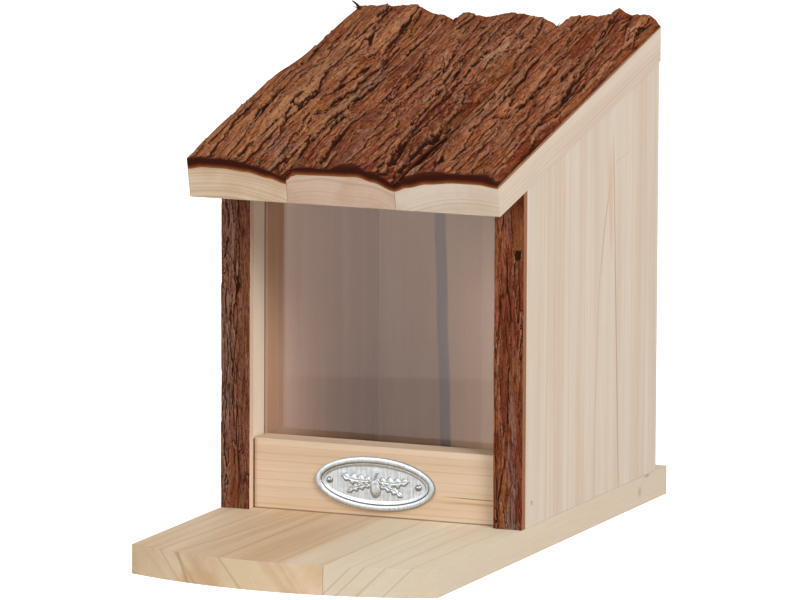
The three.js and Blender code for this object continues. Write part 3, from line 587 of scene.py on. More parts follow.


# %% [markdown]
# ## From a relief to a closed piece of bark
# The sheet's top is a grid of points, close enough for the fibres. Its underside lies on the wood,
# and its four edges are flat saw cuts, so the piece is closed like the real strip of bark. A few
# numbers are kept on each point for the material, such as how far it lies below the bark around
# it, where shade is painted, how far it stands proud, where a highlight is painted, its tone, and
# its height above the wood, which colours the cut edge.


# %% Building a sheet of bark
def blurred(values, width):
    """A box blur of a grid, repeated to look like a soft one."""
    size = 2 * width + 1
    for _ in range(2):
        for axis in (0, 1):
            padded = np.pad(values, [(width, width) if a == axis else (0, 0) for a in (0, 1)], mode="edge")
            total = np.cumsum(padded, axis=axis)
            total = np.concatenate([np.zeros_like(np.take(total, [0], axis)), total], axis=axis)
            upper = np.take(total, range(size, size + values.shape[axis]), axis)
            lower = np.take(total, range(values.shape[axis]), axis)
            values = (upper - lower) / size
    return values


def new_piece(name, points, faces, materials, point_values):
    """A visible piece from points in mm, with its materials and the numbers kept on its points."""
    mesh = bpy.data.meshes.new(name)
    mesh.from_pydata((np.array(points) * MM).tolist(), [], faces)
    for material in materials:
        mesh.materials.append(material)
    for label, values in point_values.items():
        mesh.attributes.new(label, "FLOAT", "POINT").data.foreach_set("value", np.array(values, np.float32))
    piece = bpy.data.objects.new(name, mesh)
    bpy.context.scene.collection.objects.link(piece)
    return piece


def closed_sheet(name, top, bottom, point_values, materials):
    """A closed mesh from a grid of top points and the two ends of its ruled underside."""
    rows, columns = top.shape[:2]
    points = np.concatenate([top.reshape(-1, 3), bottom[0], bottom[1]])
    near, far = rows * columns, rows * columns + columns
    grid = np.arange(rows * columns).reshape(rows, columns)
    faces = np.stack([grid[:-1, :-1], grid[:-1, 1:], grid[1:, 1:], grid[1:, :-1]], -1).reshape(-1, 4).tolist()
    skin, front, rear = len(faces), grid[0].tolist(), grid[-1].tolist()
    for at in range(columns - 1):
        faces.append([near + at, near + at + 1, front[at + 1], front[at]])
        faces.append([rear[at], rear[at + 1], far + at + 1, far + at])
        faces.append([near + at + 1, near + at, far + at, far + at + 1])
    faces.append([near] + grid[:, 0].tolist() + [far])
    faces.append([far + columns - 1] + grid[::-1, -1].tolist() + [near + columns - 1])
    values = {label: np.append(kept, np.zeros(2 * columns)) for label, kept in point_values.items()}
    piece = new_piece(name, points, faces, materials, values)
    for at, polygon in enumerate(piece.data.polygons):
        polygon.material_index = 0 if at < skin else 1
        polygon.use_smooth = at < skin
    piece.data.polygons[-1].material_index = len(materials) - 1
    piece.data.validate()
    return piece


# %% [markdown]
# ## The colour of bark
# Fresh softwood bark is red-brown, and greyer where it has weathered. The material takes a tone for
# each point and then lays one tint after the other over it, each by a share that comes from noise
# or from the numbers kept on the points. Among these tints are a tan painted highlight on the raised
# edges of the plates and painted shade, almost black, down in the hollows, furrows and cracks. The
# saw cut shows the inside: a thin orange line of inner bark on the wood, and dark maroon cork above
# it.


# %% Bark materials
def weathered_bark(name, tones, axes, slope=0.0, weather="#8c7a6c"):
    """Rough bark: tones from its dark to its light plates, and the tint of its weathered patches."""
    material, tree = new_tree(name)
    tone, hollow, worn, grey, gold = (
        add_node(tree, "Attribute", {"attribute_name": label}).outputs["Fac"]
        for label in ("tone", "hollow", "worn", "grey", "gold"))
    parts = board_place(tree, axes, slope)
    # Bark fibres run along the trunk, about half a millimetre wide; crumbs of cork are 1 mm across
    fibres = stretched_noise(tree, parts, (9, 0.8, 1.0), seed=2.3, detail=4.0, roughness=0.8)
    crumbs = stretched_noise(tree, parts, (2.2, 1.1, 1.1), seed=5.1, detail=4.0, roughness=0.8)
    both = add_node(tree, "Math", {**TIMES_PLUS, 0: fibres, 1: 2.1, 2: tone})
    both = add_node(tree, "Math", {**TIMES_PLUS, 0: crumbs, 1: 1.3, 2: both})
    shifted = add_node(tree, "Math", {"operation": "SUBTRACT", 0: both, 1: 1.66})
    stops = [(at / (len(tones) - 1), tone) for at, tone in enumerate(tones)]
    colour = add_node(tree, "ValToRGB", {"stops": stops, 0: shifted})
    # Some plates are more ochre and some redder than the others
    layers = []
    patches = ((34, 9, 8.3, "#8c5a30"), (26, 7, 6.1, "#6e2c1a"), (12, 3, 9.7, "#8a5648"))
    for length, width, seed, tint in patches:
        patch = stretched_noise(tree, parts, (length, width, width), seed)
        layers.append((add_node(tree, "MapRange", {
            **EASED, "Value": patch, "From Min": 0.5, "From Max": 0.72, "To Max": 0.55}), tint))
    flecked = add_node(tree, "MapRange", {"Value": fibres, "From Min": 0.42, "From Max": 0.6, "To Min": 0.15})
    for share, tint in ((grey, weather), (gold, "#b78f6f")):
        layers.append((add_node(tree, "Math", {**TIMES, 0: share, 1: flecked}), tint))
    # Painted shade, almost black, in the hollows, furrows and cracks; the same share also darkens the cork
    # dust on the roof and the knot on the right strip
    deep = add_node(tree, "MapRange", {
        **EASED, "Value": hollow, "From Min": 0.12, "From Max": 0.8, "To Max": 0.95})
    # A tan painted highlight on the raised edges of the plates, then the painted shade
    layers += [(worn, "#b07f5c"), (deep, "#220a03")]
    # Hairline cracks run where a stretched noise passes its middle value
    for length, width, seed, strength in ((16, 2.4, 4.2, 0.75), (8, 1.1, 7.7, 0.55)):
        crossing = stretched_noise(tree, parts, (length, width, width), seed, detail=3.0, roughness=0.6)
        crossing = add_node(tree, "Math", {"operation": "SUBTRACT", 0: crossing, 1: 0.5})
        crossing = add_node(tree, "Math", {"operation": "ABSOLUTE", 0: crossing})
        layers.append((add_node(tree, "MapRange", {
            **EASED, "Value": crossing, "From Min": 0.03, "From Max": 0.0, "To Max": strength}), "#2c1006"))
    for share, tint in layers:
        colour = add_node(tree, "Mix", {**OVERLAY, 0: share, 6: colour, 7: linear(tint)}).outputs[2]
    height = add_node(tree, "Math", {"operation": "ADD", 0: fibres, 1: crumbs})
    bump = add_node(tree, "Bump", {"Strength": 0.9, "Distance": 0.45 * MM, "Height": height})
    bark = add_node(tree, "BsdfPrincipled", {
        "Base Color": colour, "Roughness": 0.85, "Specular IOR Level": 0.08, "Normal": bump})
    add_node(tree, "OutputMaterial", {"Surface": bark})
    return material


sawn_edge, tree = new_tree("sawn_bark_edge")
rise = add_node(tree, "Attribute", {"attribute_name": "rise"}).outputs["Fac"]
place = add_node(tree, "TexCoord", {}).outputs["Object"]
speckle = add_node(tree, "TexNoise", {"Vector": place, "Scale": 1100.0, "Detail": 3.0}).outputs["Fac"]
uneven = add_node(tree, "Math", {**TIMES_PLUS, 0: speckle, 1: 0.8, 2: rise})
share = add_node(tree, "MapRange", {"Value": uneven, "From Min": 0.3, "From Max": 6.3})
stops = zip((0.0, 0.09, 0.2, 0.34, 0.6, 1.0),
            ("#96602c", "#7a4420", "#562611", "#32120a", "#33120a", "#4a2412"))
colour = add_node(tree, "ValToRGB", {"stops": list(stops), 0: share})
cork = add_node(tree, "BsdfPrincipled", {"Base Color": colour, "Roughness": 0.8, "Specular IOR Level": 0.05})
add_node(tree, "OutputMaterial", {"Surface": cork})
inner_bark = softwood("sawn_inner_bark", "ZYX", "#8f5a33", "#6b3d20", "#9b683d", ring=1.3,
                      pith=(40, 70), seed=3.3)
print("on the saw cuts:", sawn_edge.name, inner_bark.name)

# %% [markdown]
# ## Bark on the roof
# The three pieces differ: the left one is orange with smooth plates, the middle one redder and
# crumbly with a hollow near the front, and the right one has long straight plates. Where two
# boards meet, the bark drops into a valley, which opens into a crack at the front.
#
# The table says for each piece where its cracks run, where patches are grey or golden, where the
# tone is broadly lighter or darker, and where the edge stands higher or lower. The darker shades
# beside the joints between boards are painted shade in the valleys there. Along the front the dark
# dust of the sawn cork clings to the top.

# %% Roof bark
LID_LEFT, LID_WIDTH, JOINT_GAP = -68.2, 134.8, 0.05
SLAB_SHARES, SLAB_THICKNESS = (0.318, 0.348, 0.334), 13.0
REAR_SHARES = {"left": 1.06, "middle": 1.0, "right": 1.16}
CROWNS = {
    "left": [(0, 0.92), (0.16, 1), (0.36, 1), (0.6, 0.93), (0.82, 0.78), (1, 0.62)],
    "middle": [(0, 0.74), (0.08, 0.95), (0.5, 0.98), (0.66, 1), (0.8, 0.86), (1, 0.6)],
    "right": [(0, 0.6), (0.12, 0.75), (0.32, 0.91), (0.58, 1), (0.8, 1), (1, 0.91)],
}
SLOPE_LENGTH = (REAR_Y - EAVES_Y) / math.cos(SLOPE)
# The steps of the bark's grid, how far the bark lies off the wood, and where the search for the
# CAD model's bark starts
ACROSS_MM, ALONG_MM, OFF_WOOD, WELL_ABOVE = 0.33, 0.55, 0.1, 60


def under_roof(y):
    """How high the roof's underside lies at this depth."""
    return EAVES_Z + (y - EAVES_Y) * math.tan(SLOPE)


def cad_rise(node, x, s):
    """How high the CAD model's bark stands off the plane of the roof's underside."""
    tree = BVHTree.FromObject(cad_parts[node], bpy.context.evaluated_depsgraph_get())
    upward = Vector((0, -math.sin(SLOPE), math.cos(SLOPE)))
    rise = np.zeros(x.shape)
    for at in np.ndindex(x.shape):
        foot = Vector((x[at], EAVES_Y + s[at] * math.cos(SLOPE), EAVES_Z + s[at] * math.sin(SLOPE))) * MM
        hit = tree.ray_cast(foot + upward * WELL_ABOVE * MM, -upward)[0]
        rise[at] = (hit - foot).dot(upward) / MM
    return rise


def on_slope(x, rise, share):
    """Points of the roof: their x, their rise off the underside and the share of the way up."""
    front = np.stack([EAVES_Y - rise * math.sin(SLOPE), EAVES_Z + rise * math.cos(SLOPE)], -1)
    rear = np.stack([np.full_like(rise, REAR_Y), under_roof(REAR_Y) + rise / math.cos(SLOPE)], -1)
    return np.concatenate([x[..., None], front + (rear - front) * share[..., None]], -1)


def crown_rise(name, across, up):
    """The waney top of a slab, which eases from one named height to the next and tapers up the slope."""
    crown = CROWNS[name]
    rise = np.full(across.shape, crown[0][1], float)
    for (x0, low), (x1, high) in zip(crown, crown[1:]):
        rise = np.where(across >= x0, low + (high - low) * smoothstep(x0, x1, across), rise)
    return rise * SLAB_THICKNESS * (1 + (REAR_SHARES[name] - 1) * up)


# Cracks are placed from one end, across and up the slope, to the other, with a width and a depth.
# Patches, shades and bumps have their middle, their half sizes and a strength, change or height.
# The negative shades beside the joints between boards are painted shade in the valleys
ROOF_BARK = {
    "left": {
        "seed": 3, "pitch": 10.5, "granular": 0.2,
        "tones": ["#521800", "#793818", "#914f2a", "#a0623c", "#b88058"],
        "cracks": [(-57.7, 75, -57.7, 41, 1.8, 1.6), (-45.4, 88, -44.4, 60, 2.0, 1.6),
                   (-45.0, 58, -48.4, 18, 2.2, 1.8), (-37.6, 134, -39.5, 80, 2.0, 1.6),
                   (-61.0, 180, -62.6, 140, 1.6, 1.4), (-47.6, 22, -47.0, 2, 1.6, 1.4),
                   (-34.0, 92, -35.5, 66, 1.4, 1.2), (-52.0, 104, -51.0, 84, 1.2, 1.1),
                   (-29.0, 183, -29.8, 2, 1.8, 1.4), (-54.0, 150, -53.0, 118, 1.0, 0.9)],
        "grey": [(-31.6, 107, 2.0, 24, 0.7), (-38.5, 28, 3.2, 22, 0.45), (-33.5, 20, 1.6, 22, 0.5),
                 (-31.0, 60, 1.2, 40, 0.4)],
        "gold": [(-52, 96, 6, 30, 0.3), (-44, 130, 5, 26, 0.25), (-56, 28, 4, 16, 0.25)],
        "shades": [(-39, 60, 8, 42, 0.17), (-60, 48, 8, 42, 0.1), (-56, 161, 5, 11, 0.12),
                   (-32, 106, 5, 24, 0.13), (-64, 145, 5, 20, -0.14), (-43, 123, 5, 10, -0.18),
                   (-27, 178, 6, 14, -0.28), (-27, 8, 6, 18, -0.32), (-35, 5, 5, 8, -0.2)],
        "bumps": [(-67, 0, 8, 18, -1.4), (-67, 50, 9, 22, -1.3), (-67, 104, 9, 16, 0.8),
                  (-38, 184, 10, 16, 1.6)]},
    "middle": {
        "seed": 8, "pitch": 11.5, "granular": 0.45,
        "tones": ["#420f00", "#642810", "#813f21", "#935635", "#ad7351"],
        "cracks": [(-2.6, 166, -3.4, 150, 1.6, 1.6), (3.0, 125, 6.2, 84, 2.0, 1.8),
                   (6.2, 86, 7.4, 42, 1.8, 1.8), (-15.4, 37, -14.8, 26, 6.5, 1.6),
                   (-12.6, 118, -12.2, 94, 2.8, 1.2), (-12.4, 88, -11.6, 60, 3.0, 1.3),
                   (-9.0, 131, 1.0, 100, 1.2, 1.1), (-7.6, 66, -6.4, 44, 1.3, 1.2),
                   (8.6, 36, 9.2, 8, 1.2, 1.1), (20.0, 66, 19.8, -6, 4.2, 1.8),
                   (-24.6, 186, -24.2, 112, 2.6, 1.4), (-24.4, 30, -24.6, -4, 2.2, 1.4)],
        "grey": [(-4.6, 34, 2.4, 8, 0.7), (2.4, 108, 1.3, 22, 0.45), (-3.0, 14, 2.6, 12, 0.35),
                 (14.8, 88, 2.2, 5, 0.5)],
        "gold": [(13.5, 136, 4.5, 26, 0.85), (4, 150, 5, 16, 0.25)],
        "shades": [(-22, 148, 5, 25, -0.3), (-20, 108, 5, 18, -0.15), (-21, 14, 6, 16, -0.28),
                   (-13, 57, 5, 14, -0.15), (0, 142, 10, 24, 0.1), (0, 76, 6, 20, 0.08),
                   (7, 40, 6, 20, -0.13), (12, 84, 6, 18, -0.1), (21.5, 22, 4, 36, -0.5)],
        "bumps": [(-22, 184, 6, 16, 0.8), (8, 184, 8, 14, -0.6)]},
    "right": {
        "seed": 15, "pitch": 9.0, "granular": 0.2,
        "tones": ["#4b1100", "#722e10", "#894524", "#9d5b37", "#b57751"],
        "cracks": [(30.0, 112, 28.6, 78, 1.9, 1.8), (38.8, 146, 34.6, 106, 2.2, 2.0),
                   (46.4, 118, 44.8, 70, 1.9, 1.8), (50.4, 166, 51.6, 104, 2.0, 2.0),
                   (61.4, 110, 60.6, 70, 1.6, 1.4), (58.2, 66, 57.2, 18, 2.0, 1.8),
                   (35.0, 20, 37.0, 1, 6.0, 2.0), (43.6, 68, 42.8, 30, 1.7, 1.6),
                   (62.4, 62, 63.0, 30, 1.2, 1.2), (45.0, 186, 45.6, 156, 1.8, 1.8),
                   (53.0, 62, 47.0, 58, 2.0, 1.3), (22.8, 183, 22.4, 2, 1.6, 1.4),
                   (22.8, 74, 22.8, -6, 4.6, 2.0)],
        "grey": [(29.0, 6, 3.0, 9, 0.7), (34.0, 62, 2.6, 8, 0.3)],
        "gold": [(30, 110, 4, 34, 0.35), (50, 44, 5, 14, 0.3)],
        "shades": [(26, 14, 6, 16, -0.24), (39, 30, 8, 22, -0.3), (36, 5, 6, 8, -0.2),
                   (42, 122, 7, 24, 0.25), (36, 86, 5, 18, 0.2), (49, 84, 6, 20, 0.18),
                   (57, 58, 5, 14, -0.25), (33, 176, 6, 10, 0.22)],
        "bumps": [(36, 184, 12, 22, -2.0), (54, 184, 5, 12, -0.9), (48.5, 182, 2.6, 9, 1.8)]},
}


def swell(x, s, places):
    """Broad soft hills and hollows."""
    return sum(height * np.exp(-((x - px) / wide) ** 2 - ((s - ps) / long) ** 2)
               for px, ps, wide, long, height in places)


def spots(x, s, places, seed):
    """The share, from 0 to 1, of a tint that lies in ragged patches."""
    share = np.zeros(x.shape)
    ragged = 1.3 * rough_noise(x / 1.8, s / 10, 4, seed)
    for px, ps, wide, long, strength in places:
        spread = np.hypot((x - px) / wide, (s - ps) / long) + ragged
        share = np.maximum(share, strength * smoothstep(1.1, 0.5, spread))
    return share


def roof_bark(name, span, made):
    """One sheet of bark on one slab: the CAD sheet's form with the fine relief on it."""
    columns, rows = int((span[1] - span[0]) / ACROSS_MM) + 1, int(SLOPE_LENGTH / ALONG_MM) + 1
    share_x, share_s = np.meshgrid(np.linspace(0, 1, columns), np.linspace(0, 1, rows))
    x, s = span[0] + share_x * (span[1] - span[0]), share_s * SLOPE_LENGTH
    wood = crown_rise(name, share_x, share_s) + OFF_WOOD
    inside_x, inside_s = np.clip(x, span[0] + 0.1, span[1] - 0.1), np.clip(s, 0.1, SLOPE_LENGTH - 0.1)
    broad = blurred(cad_rise(name + "_roof_bark", inside_x, inside_s) - wood, 2) + swell(x, s, made["bumps"])
    fine, tone, crack = bark_relief(x, s, made["seed"], made["pitch"], made["granular"], made["cracks"])
    # The fine relief is weaker at the edges, and the bark thins towards the roof's own right edge
    edge = smoothstep(0, 0.07, share_x) * smoothstep(0, 0.07, 1 - share_x) * smoothstep(0, 0.03, 1 - share_s)
    edge = edge * smoothstep(0, 0.03, share_s)
    rise = np.clip(broad + fine * (0.4 + 0.6 * edge), 0.6, 8)
    if name == "right":
        rise = rise * (1 - 0.5 * smoothstep(0.93, 1.0, share_x))
    top = on_slope(x, wood + rise, share_s)
    bottom = [on_slope(x[row], wood[row], share_s[row]) for row in (0, -1)]
    # Painted shade: how far each point lies below the bark around it, at two sizes
    below = np.clip((blurred(rise, 6) - rise) / 2.6, 0, 1)
    below = below + np.clip((blurred(rise, 1) - rise) / 0.3, 0, 0.7)
    # A painted highlight on the raised edges of the plates, kept off the cracks
    worn = 0.55 * smoothstep(0.08, 0.32, rise - blurred(rise, 2)) * (1 - crack)
    dust = 0.55 * smoothstep(3.2, 0.2, s + 2.4 * rough_noise(x / 1.4, s / 4, 3, made["seed"] + 81))
    values = {"tone": tone + swell(x, s, made["shades"]), "rise": rise, "worn": worn,
              "hollow": np.clip(below + 0.55 * crack + dust, 0, 1),
              "grey": spots(x, s, made["grey"], made["seed"] + 90),
              "gold": spots(x, s, made["gold"], made["seed"] + 95)}
    material = weathered_bark(name + "_roof_bark_surface", made["tones"], "YXZ", SLOPE)
    # Only the roof's own right side shows the planed inner bark: the joints' sides are in the dark
    piece = closed_sheet(name + "_bark", top, bottom, values,
                         [material, sawn_edge] + [inner_bark] * (name == "right"))
    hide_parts(name + "_roof_bark")
    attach(piece, "lid")
    return piece


start = LID_LEFT
for (name, made), share in zip(ROOF_BARK.items(), SLAB_SHARES):
    end = start + share * LID_WIDTH
    piece = roof_bark(name, (start + JOINT_GAP, end - JOINT_GAP), made)
    start = end
    print(piece.name, len(piece.data.vertices), "points")

# %% [markdown]
# ## Splinters
# Along its edges the bark frays, and a few fibres stand out against the background. Each is a thin
# spindle, thick at its root and pointed at its end.

# %% Loose splinters
# Each splinter's root, its reach and its thickness, in mm
SPLINTERS = [((-66.0, 117.0, 198.6), (-4.2, 0.0, 4.2), 1.0), ((-65.5, 116.0, 198.6), (-3.0, -2.5, 2.2), 0.4),
             ((-67.2, 91.4, 189.6), (-1.2, -2.6, 2.0), 0.4), ((-67.4, -6.8, 173.0), (-1.2, 2.0, 2.2), 0.35),
             ((-67.4, -2.0, 174.0), (-1.0, 3.0, 2.0), 0.3), ((-31.0, 119.0, 194.0), (1.6, 1.0, 3.6), 0.5),
             ((-28.0, 119.5, 192.6), (1.4, 1.0, 2.8), 0.4), ((21.0, 119.5, 194.6), (1.2, 1.0, 3.4), 0.5),
             ((46.0, 119.0, 200.2), (2.8, 1.0, 3.2), 0.7), ((51.0, 119.0, 200.0), (2.6, 1.2, 2.4), 0.6),
             ((-20.0, -57.0, 158.4), (0.8, -1.6, 1.6), 0.3), ((31.0, -56.0, 157.4), (-1.0, -1.8, 1.4), 0.3)]
STEPS, SIDES = 6, 5
points, faces = [], []
for root, reach, thick in SPLINTERS:
    root, reach = Vector(root), Vector(reach)
    across = reach.cross(Vector((0, 0, 1))).normalized()
    upward = across.cross(reach).normalized()
    first = len(points)
    for share in np.linspace(0, 1, STEPS):
        middle = root + reach * share + upward * 0.5 * math.sin(3 * share)
        radius = thick * (1 - 0.75 * share)
        for angle in np.arange(SIDES) * 2 * math.pi / SIDES:
            points.append(middle + across * radius * math.cos(angle) + upward * radius * math.sin(angle))
    for near in range(first, len(points) - SIDES, SIDES):
        for side in range(SIDES):
            following = (side + 1) % SIDES
            faces.append([near + side, near + following, near + SIDES + following, near + SIDES + side])
    faces.append(list(range(first, first + SIDES))[::-1])
    faces.append(list(range(len(points) - SIDES, len(points))))
splinters = new_piece("splinters", points, faces, [sawn_edge], {"rise": [5.0] * len(points)})
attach(splinters, "lid")
print("splinters:", len(SPLINTERS))

# %% [markdown]
# ## Bark strips on the front edges
# A narrow strip of the same bark is nailed up the front edge of each wall. The left one keeps an
# outer ridged layer over a smoother red one. The right one is flatter, with a few long cracks, a
# small knot near its top and grey patches towards its foot.

# %% Bark strips
STRIP_WIDTH, WALL_FRONT_Y, BASE_TOP = 12.5, -26.5, 12.0
# The gap under the roof, how thick the bark is before its relief, the width of its plates, how
# crumbly it is, and the columns and rows of its grid
ROOF_GAP, STRIP_THICKNESS, PITCH, CRUMBLE, STRIP_GRID = 0.5, 3.8, 6.0, 0.2, (56, 340)
STRIPS = {
    "left": {
        "from": -66.0, "seed": 41, "side": left_wall, "relief": 0.4, "smooth_from": 6.7,
        "tones": ["#2e0e07", "#4f2818", "#6b3f2a", "#7f523c", "#946b56"],
        "cracks": [(6.6, 148, 7.6, 112, 1.0, 1.4), (7.6, 114, 6.3, 84, 0.9, 1.3),
                   (6.5, 86, 6.6, 18, 0.9, 1.4), (2.2, 100, 2.4, 26, 0.8, 0.9),
                   (4.3, 92, 4.6, 30, 0.8, 0.9), (3.2, 140, 3.0, 96, 0.8, 1.0)],
        "grey": [(2.6, 70, 2.6, 60, 0.5), (2.8, 130, 3.0, 30, 0.6), (8.8, 83, 0.6, 5, 0.8)],
        "knots": []},
    "right": {
        "from": 53.5, "seed": 47, "side": inner_bark, "relief": 0.26, "smooth_from": 99,
        "tones": ["#320c03", "#582512", "#73371f", "#85492e", "#9e6546"],
        "cracks": [(5.0, 136, 2.2, 108, 0.9, 1.2), (5.4, 120, 6.4, 84, 0.9, 1.2),
                   (6.4, 84, 5.8, 52, 0.8, 1.0)],
        "grey": [(6.0, 124, 1.5, 6, 0.45), (7.6, 34, 1.9, 22, 0.5), (8.8, 9, 2.1, 9, 0.6),
                 (8.8, 1.5, 2.4, 2.2, 1.2)],
        "knots": [(10.0, 113, 1.5, 2.6)]},
}


def bark_strip(side, made):
    """One strip of bark, cut to the slope of the roof at its top."""
    columns, rows = STRIP_GRID
    share_x, share_z = np.meshgrid(np.linspace(0, 1, columns), np.linspace(0, 1, rows))
    across, up = share_x * STRIP_WIDTH, share_z * (under_roof(WALL_FRONT_Y) - BASE_TOP)
    height, tone, crack = bark_relief(across, up, made["seed"], PITCH, CRUMBLE, made["cracks"])
    # Where the outer plates are lost, along the inner side, a smooth red layer shows
    bare = smoothstep(0, 0.7, across - made["smooth_from"] + 0.8 * rough_noise(across / 5, up / 14, 3, 88))
    height = height * (1 - 0.65 * bare) - 0.5 * bare
    knot = np.zeros(across.shape)
    for x, z, wide, long in made["knots"]:
        spread = np.hypot((across - x) / wide, (up - z) / long) + 0.35 * rough_noise(across, up / 2, 3, 77)
        knot = np.maximum(knot, smoothstep(1.0, 0.55, spread))
        height = height + 0.5 * np.exp(-((spread - 1.25) / 0.4) ** 2) - 1.6 * knot
    thick = np.clip(STRIP_THICKNESS + made["relief"] * height, 1.2, 4.7)
    y = WALL_FRONT_Y - thick
    top_z = under_roof(y) - ROOF_GAP
    points = np.stack([made["from"] + across, y, BASE_TOP + share_z * (top_z - BASE_TOP)], -1)
    bottom = [np.stack([made["from"] + across[0], np.full(columns, WALL_FRONT_Y), np.full(columns, z)], -1)
              for z in (BASE_TOP, under_roof(WALL_FRONT_Y) - ROOF_GAP)]
    # Painted shade: how far each point lies below the bark around it, at two sizes
    below = np.clip((blurred(thick, 5) - thick) / 0.9, 0, 1)
    below = below + np.clip((blurred(thick, 1) - thick) / 0.2, 0, 0.6)
    # A painted highlight on the raised edges, kept off the cracks and weaker on the smooth layer
    worn = 0.5 * smoothstep(0.05, 0.2, thick - blurred(thick, 2)) * (1 - crack)
    values = {"tone": tone * (1 - 0.5 * bare) + 0.22 * bare, "rise": thick, "worn": worn * (1 - 0.6 * bare),
              "hollow": np.clip(below + 0.6 * crack + knot, 0, 1), "gold": 0 * tone,
              "grey": spots(across, up, made["grey"], made["seed"] + 5) * (1 - 0.7 * bare)}
    material = weathered_bark(side + "_strip_bark_surface", made["tones"], "ZXY", weather="#8d7c74")
    piece = closed_sheet(side + "_strip", points, bottom, values, [material, sawn_edge, made["side"]])
    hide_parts(side + "_bark_strip")
    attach(piece, "box")
    return piece


for side, made in STRIPS.items():
    piece = bark_strip(side, made)
    print(piece.name, len(piece.data.vertices), "points")

# %% [markdown]
# ## The clear sheet
# The window is cast acrylic, 2 mm thick: see-through, with a sharp reflection of the white room
# that lays a pale veil over the dark inside. Acrylic's own IOR is 1.49. A little more here, with a
# warm sheen, gives the veil the strength that it has on the real sheet. A warm tint on what is seen
# through the sheet is painted shade, which darkens and reddens the inside. Light reaches the inside
# through it untinted, so for shadow and diffuse rays the sheet simply lets the light pass, which
# keeps the inside clean.

# %% Acrylic
# The tint is painted shade over the inside, as seen through the sheet
INSIDE_SHADE_TINT, SHEEN, CLEAR_IOR = (1.0, 0.82, 0.745, 1), (1.0, 0.94, 0.92, 1), 1.55
acrylic, tree = new_tree("cast_acrylic")
path = add_node(tree, "LightPath", {})
passes = add_node(tree, "Math", {
    "operation": "MAXIMUM", 0: path.outputs["Is Shadow Ray"], 1: path.outputs["Is Diffuse Ray"]})
glass = add_node(tree, "BsdfPrincipled", {
    "Base Color": INSIDE_SHADE_TINT, "Roughness": 0.02, "IOR": CLEAR_IOR, "Specular IOR Level": 1.0,
    "Specular Tint": SHEEN, "Transmission Weight": 1.0})
through = add_node(tree, "BsdfTransparent", {"Color": WHITE})
mixed = add_node(tree, "MixShader", {0: passes, 1: glass, 2: through})
add_node(tree, "OutputMaterial", {"Surface": mixed})
dress("clear_panel", acrylic)

# %% [markdown]
# ## Metal
# The badge is pressed zinc, brushed upright so that it has fine bright lines, with dark dirt left in
# its hollows. The nails are domed and polished, and the hinges and screws on the back are steel
# with a yellow zinc coat.


# %% Metal materials
def brushed_metal(name, colour, roughness, line_mm, axes="ZXY"):
    """Bare or plated metal with fine lines along the first axis and dirt in its hollows."""
    material, tree = new_tree(name)
    parts = board_place(tree, axes)
    lines = stretched_noise(tree, parts, (9, line_mm, line_mm), seed=0.0, detail=3.0, roughness=0.7)
    bright = add_node(tree, "MapRange", {
        "Value": lines, "From Min": 0.3, "From Max": 0.7, "To Min": 0.66, "To Max": 1.12})
    shade = add_node(tree, "VectorMath", {"operation": "SCALE", 0: linear(colour)[:3], "Scale": bright})
    hollow = add_node(tree, "Attribute", {"attribute_name": "hollow"}).outputs["Fac"]
    shade = add_node(tree, "Mix", {**OVERLAY, 0: hollow, 6: shade, 7: linear("#6a5f58")}).outputs[2]
    rough = add_node(tree, "MapRange", {
        "Value": lines, "To Min": roughness - 0.08, "To Max": roughness + 0.08})
    bump = add_node(tree, "Bump", {"Strength": 0.4, "Distance": 0.06 * MM, "Height": lines})
    metal = add_node(tree, "BsdfPrincipled", {
        "Base Color": shade, "Metallic": 1.0, "Roughness": rough, "Normal": bump})
    add_node(tree, "OutputMaterial", {"Surface": metal})
    return material


zinc = brushed_metal("brushed_zinc", "#cdd5da", roughness=0.44, line_mm=0.4)
nail_metal = brushed_metal("polished_nail_steel", "#a3a5a6", roughness=0.24, line_mm=0.5)
plated = brushed_metal("yellow_zinc_plate", "#cdb98a", roughness=0.34, line_mm=0.8, axes="XYZ")
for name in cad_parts:
    if "brad" in name:
        dress(name, nail_metal)
    elif "hinge" in name:
        dress(name, plated)
print("metals:", zinc.name, nail_metal.name, plated.name)

# %% [markdown]
# ## The badge, its nails and the screws
# All three are round or oval pieces with a relief on their face, so one function makes them: rings
# of points from the middle out, each lifted by a height, and then a few rings that step back to
# the shank. The badge has a rounded rim, a groove and a slope down to the field, where an acorn
# stands between oak leaves, two on each side. It sits a little askew, as if nailed on by hand. The
# screws have a cross recess.


# %% Round pieces with a relief
def relief_disc(name, place, radii, face, skirt, material, rings, turns, crowd=1.0):
    """A closed round piece: its relief, then the outlines behind it as (share of the radius, height).
    Its rings crowd towards the rim when crowd is over 1."""
    centre, level, upright, out = (np.array(vector, float) for vector in place)
    angle = np.linspace(0, 2 * np.pi, turns, endpoint=False)
    share = np.repeat((1 - (1 - np.linspace(0, 1, rings + 1)) ** crowd)[1:, None], turns, 1)
    u, v = share * radii[0] * np.cos(angle), share * radii[1] * np.sin(angle)
    height, hollow = face(u, v, share)
    for scale, level_back in skirt:
        u = np.concatenate([u, scale * radii[0] * np.cos(angle)[None]])
        v = np.concatenate([v, scale * radii[1] * np.sin(angle)[None]])
        height = np.concatenate([height, np.full((1, turns), float(level_back))])
        hollow = np.concatenate([hollow, np.zeros((1, turns))])
    points = (centre + u[..., None] * level + v[..., None] * upright + height[..., None] * out).reshape(-1, 3)
    middle = centre + height[0].mean() * out
    grid = np.arange(len(points)).reshape(-1, turns)
    following = np.roll(grid, -1, 1)
    faces = np.stack([grid[:-1], grid[1:], following[1:], following[:-1]], -1).reshape(-1, 4).tolist()
    faces += [[len(points), near, far] for near, far in zip(grid[0].tolist(), following[0].tolist())]
    faces.append(grid[-1][::-1].tolist())
    piece = new_piece(name, np.concatenate([points, middle[None]]), faces, [material],
                      {"hollow": np.append(hollow, hollow[0].mean())})
    for polygon in piece.data.polygons[:-1]:
        polygon.use_smooth = True
    return piece


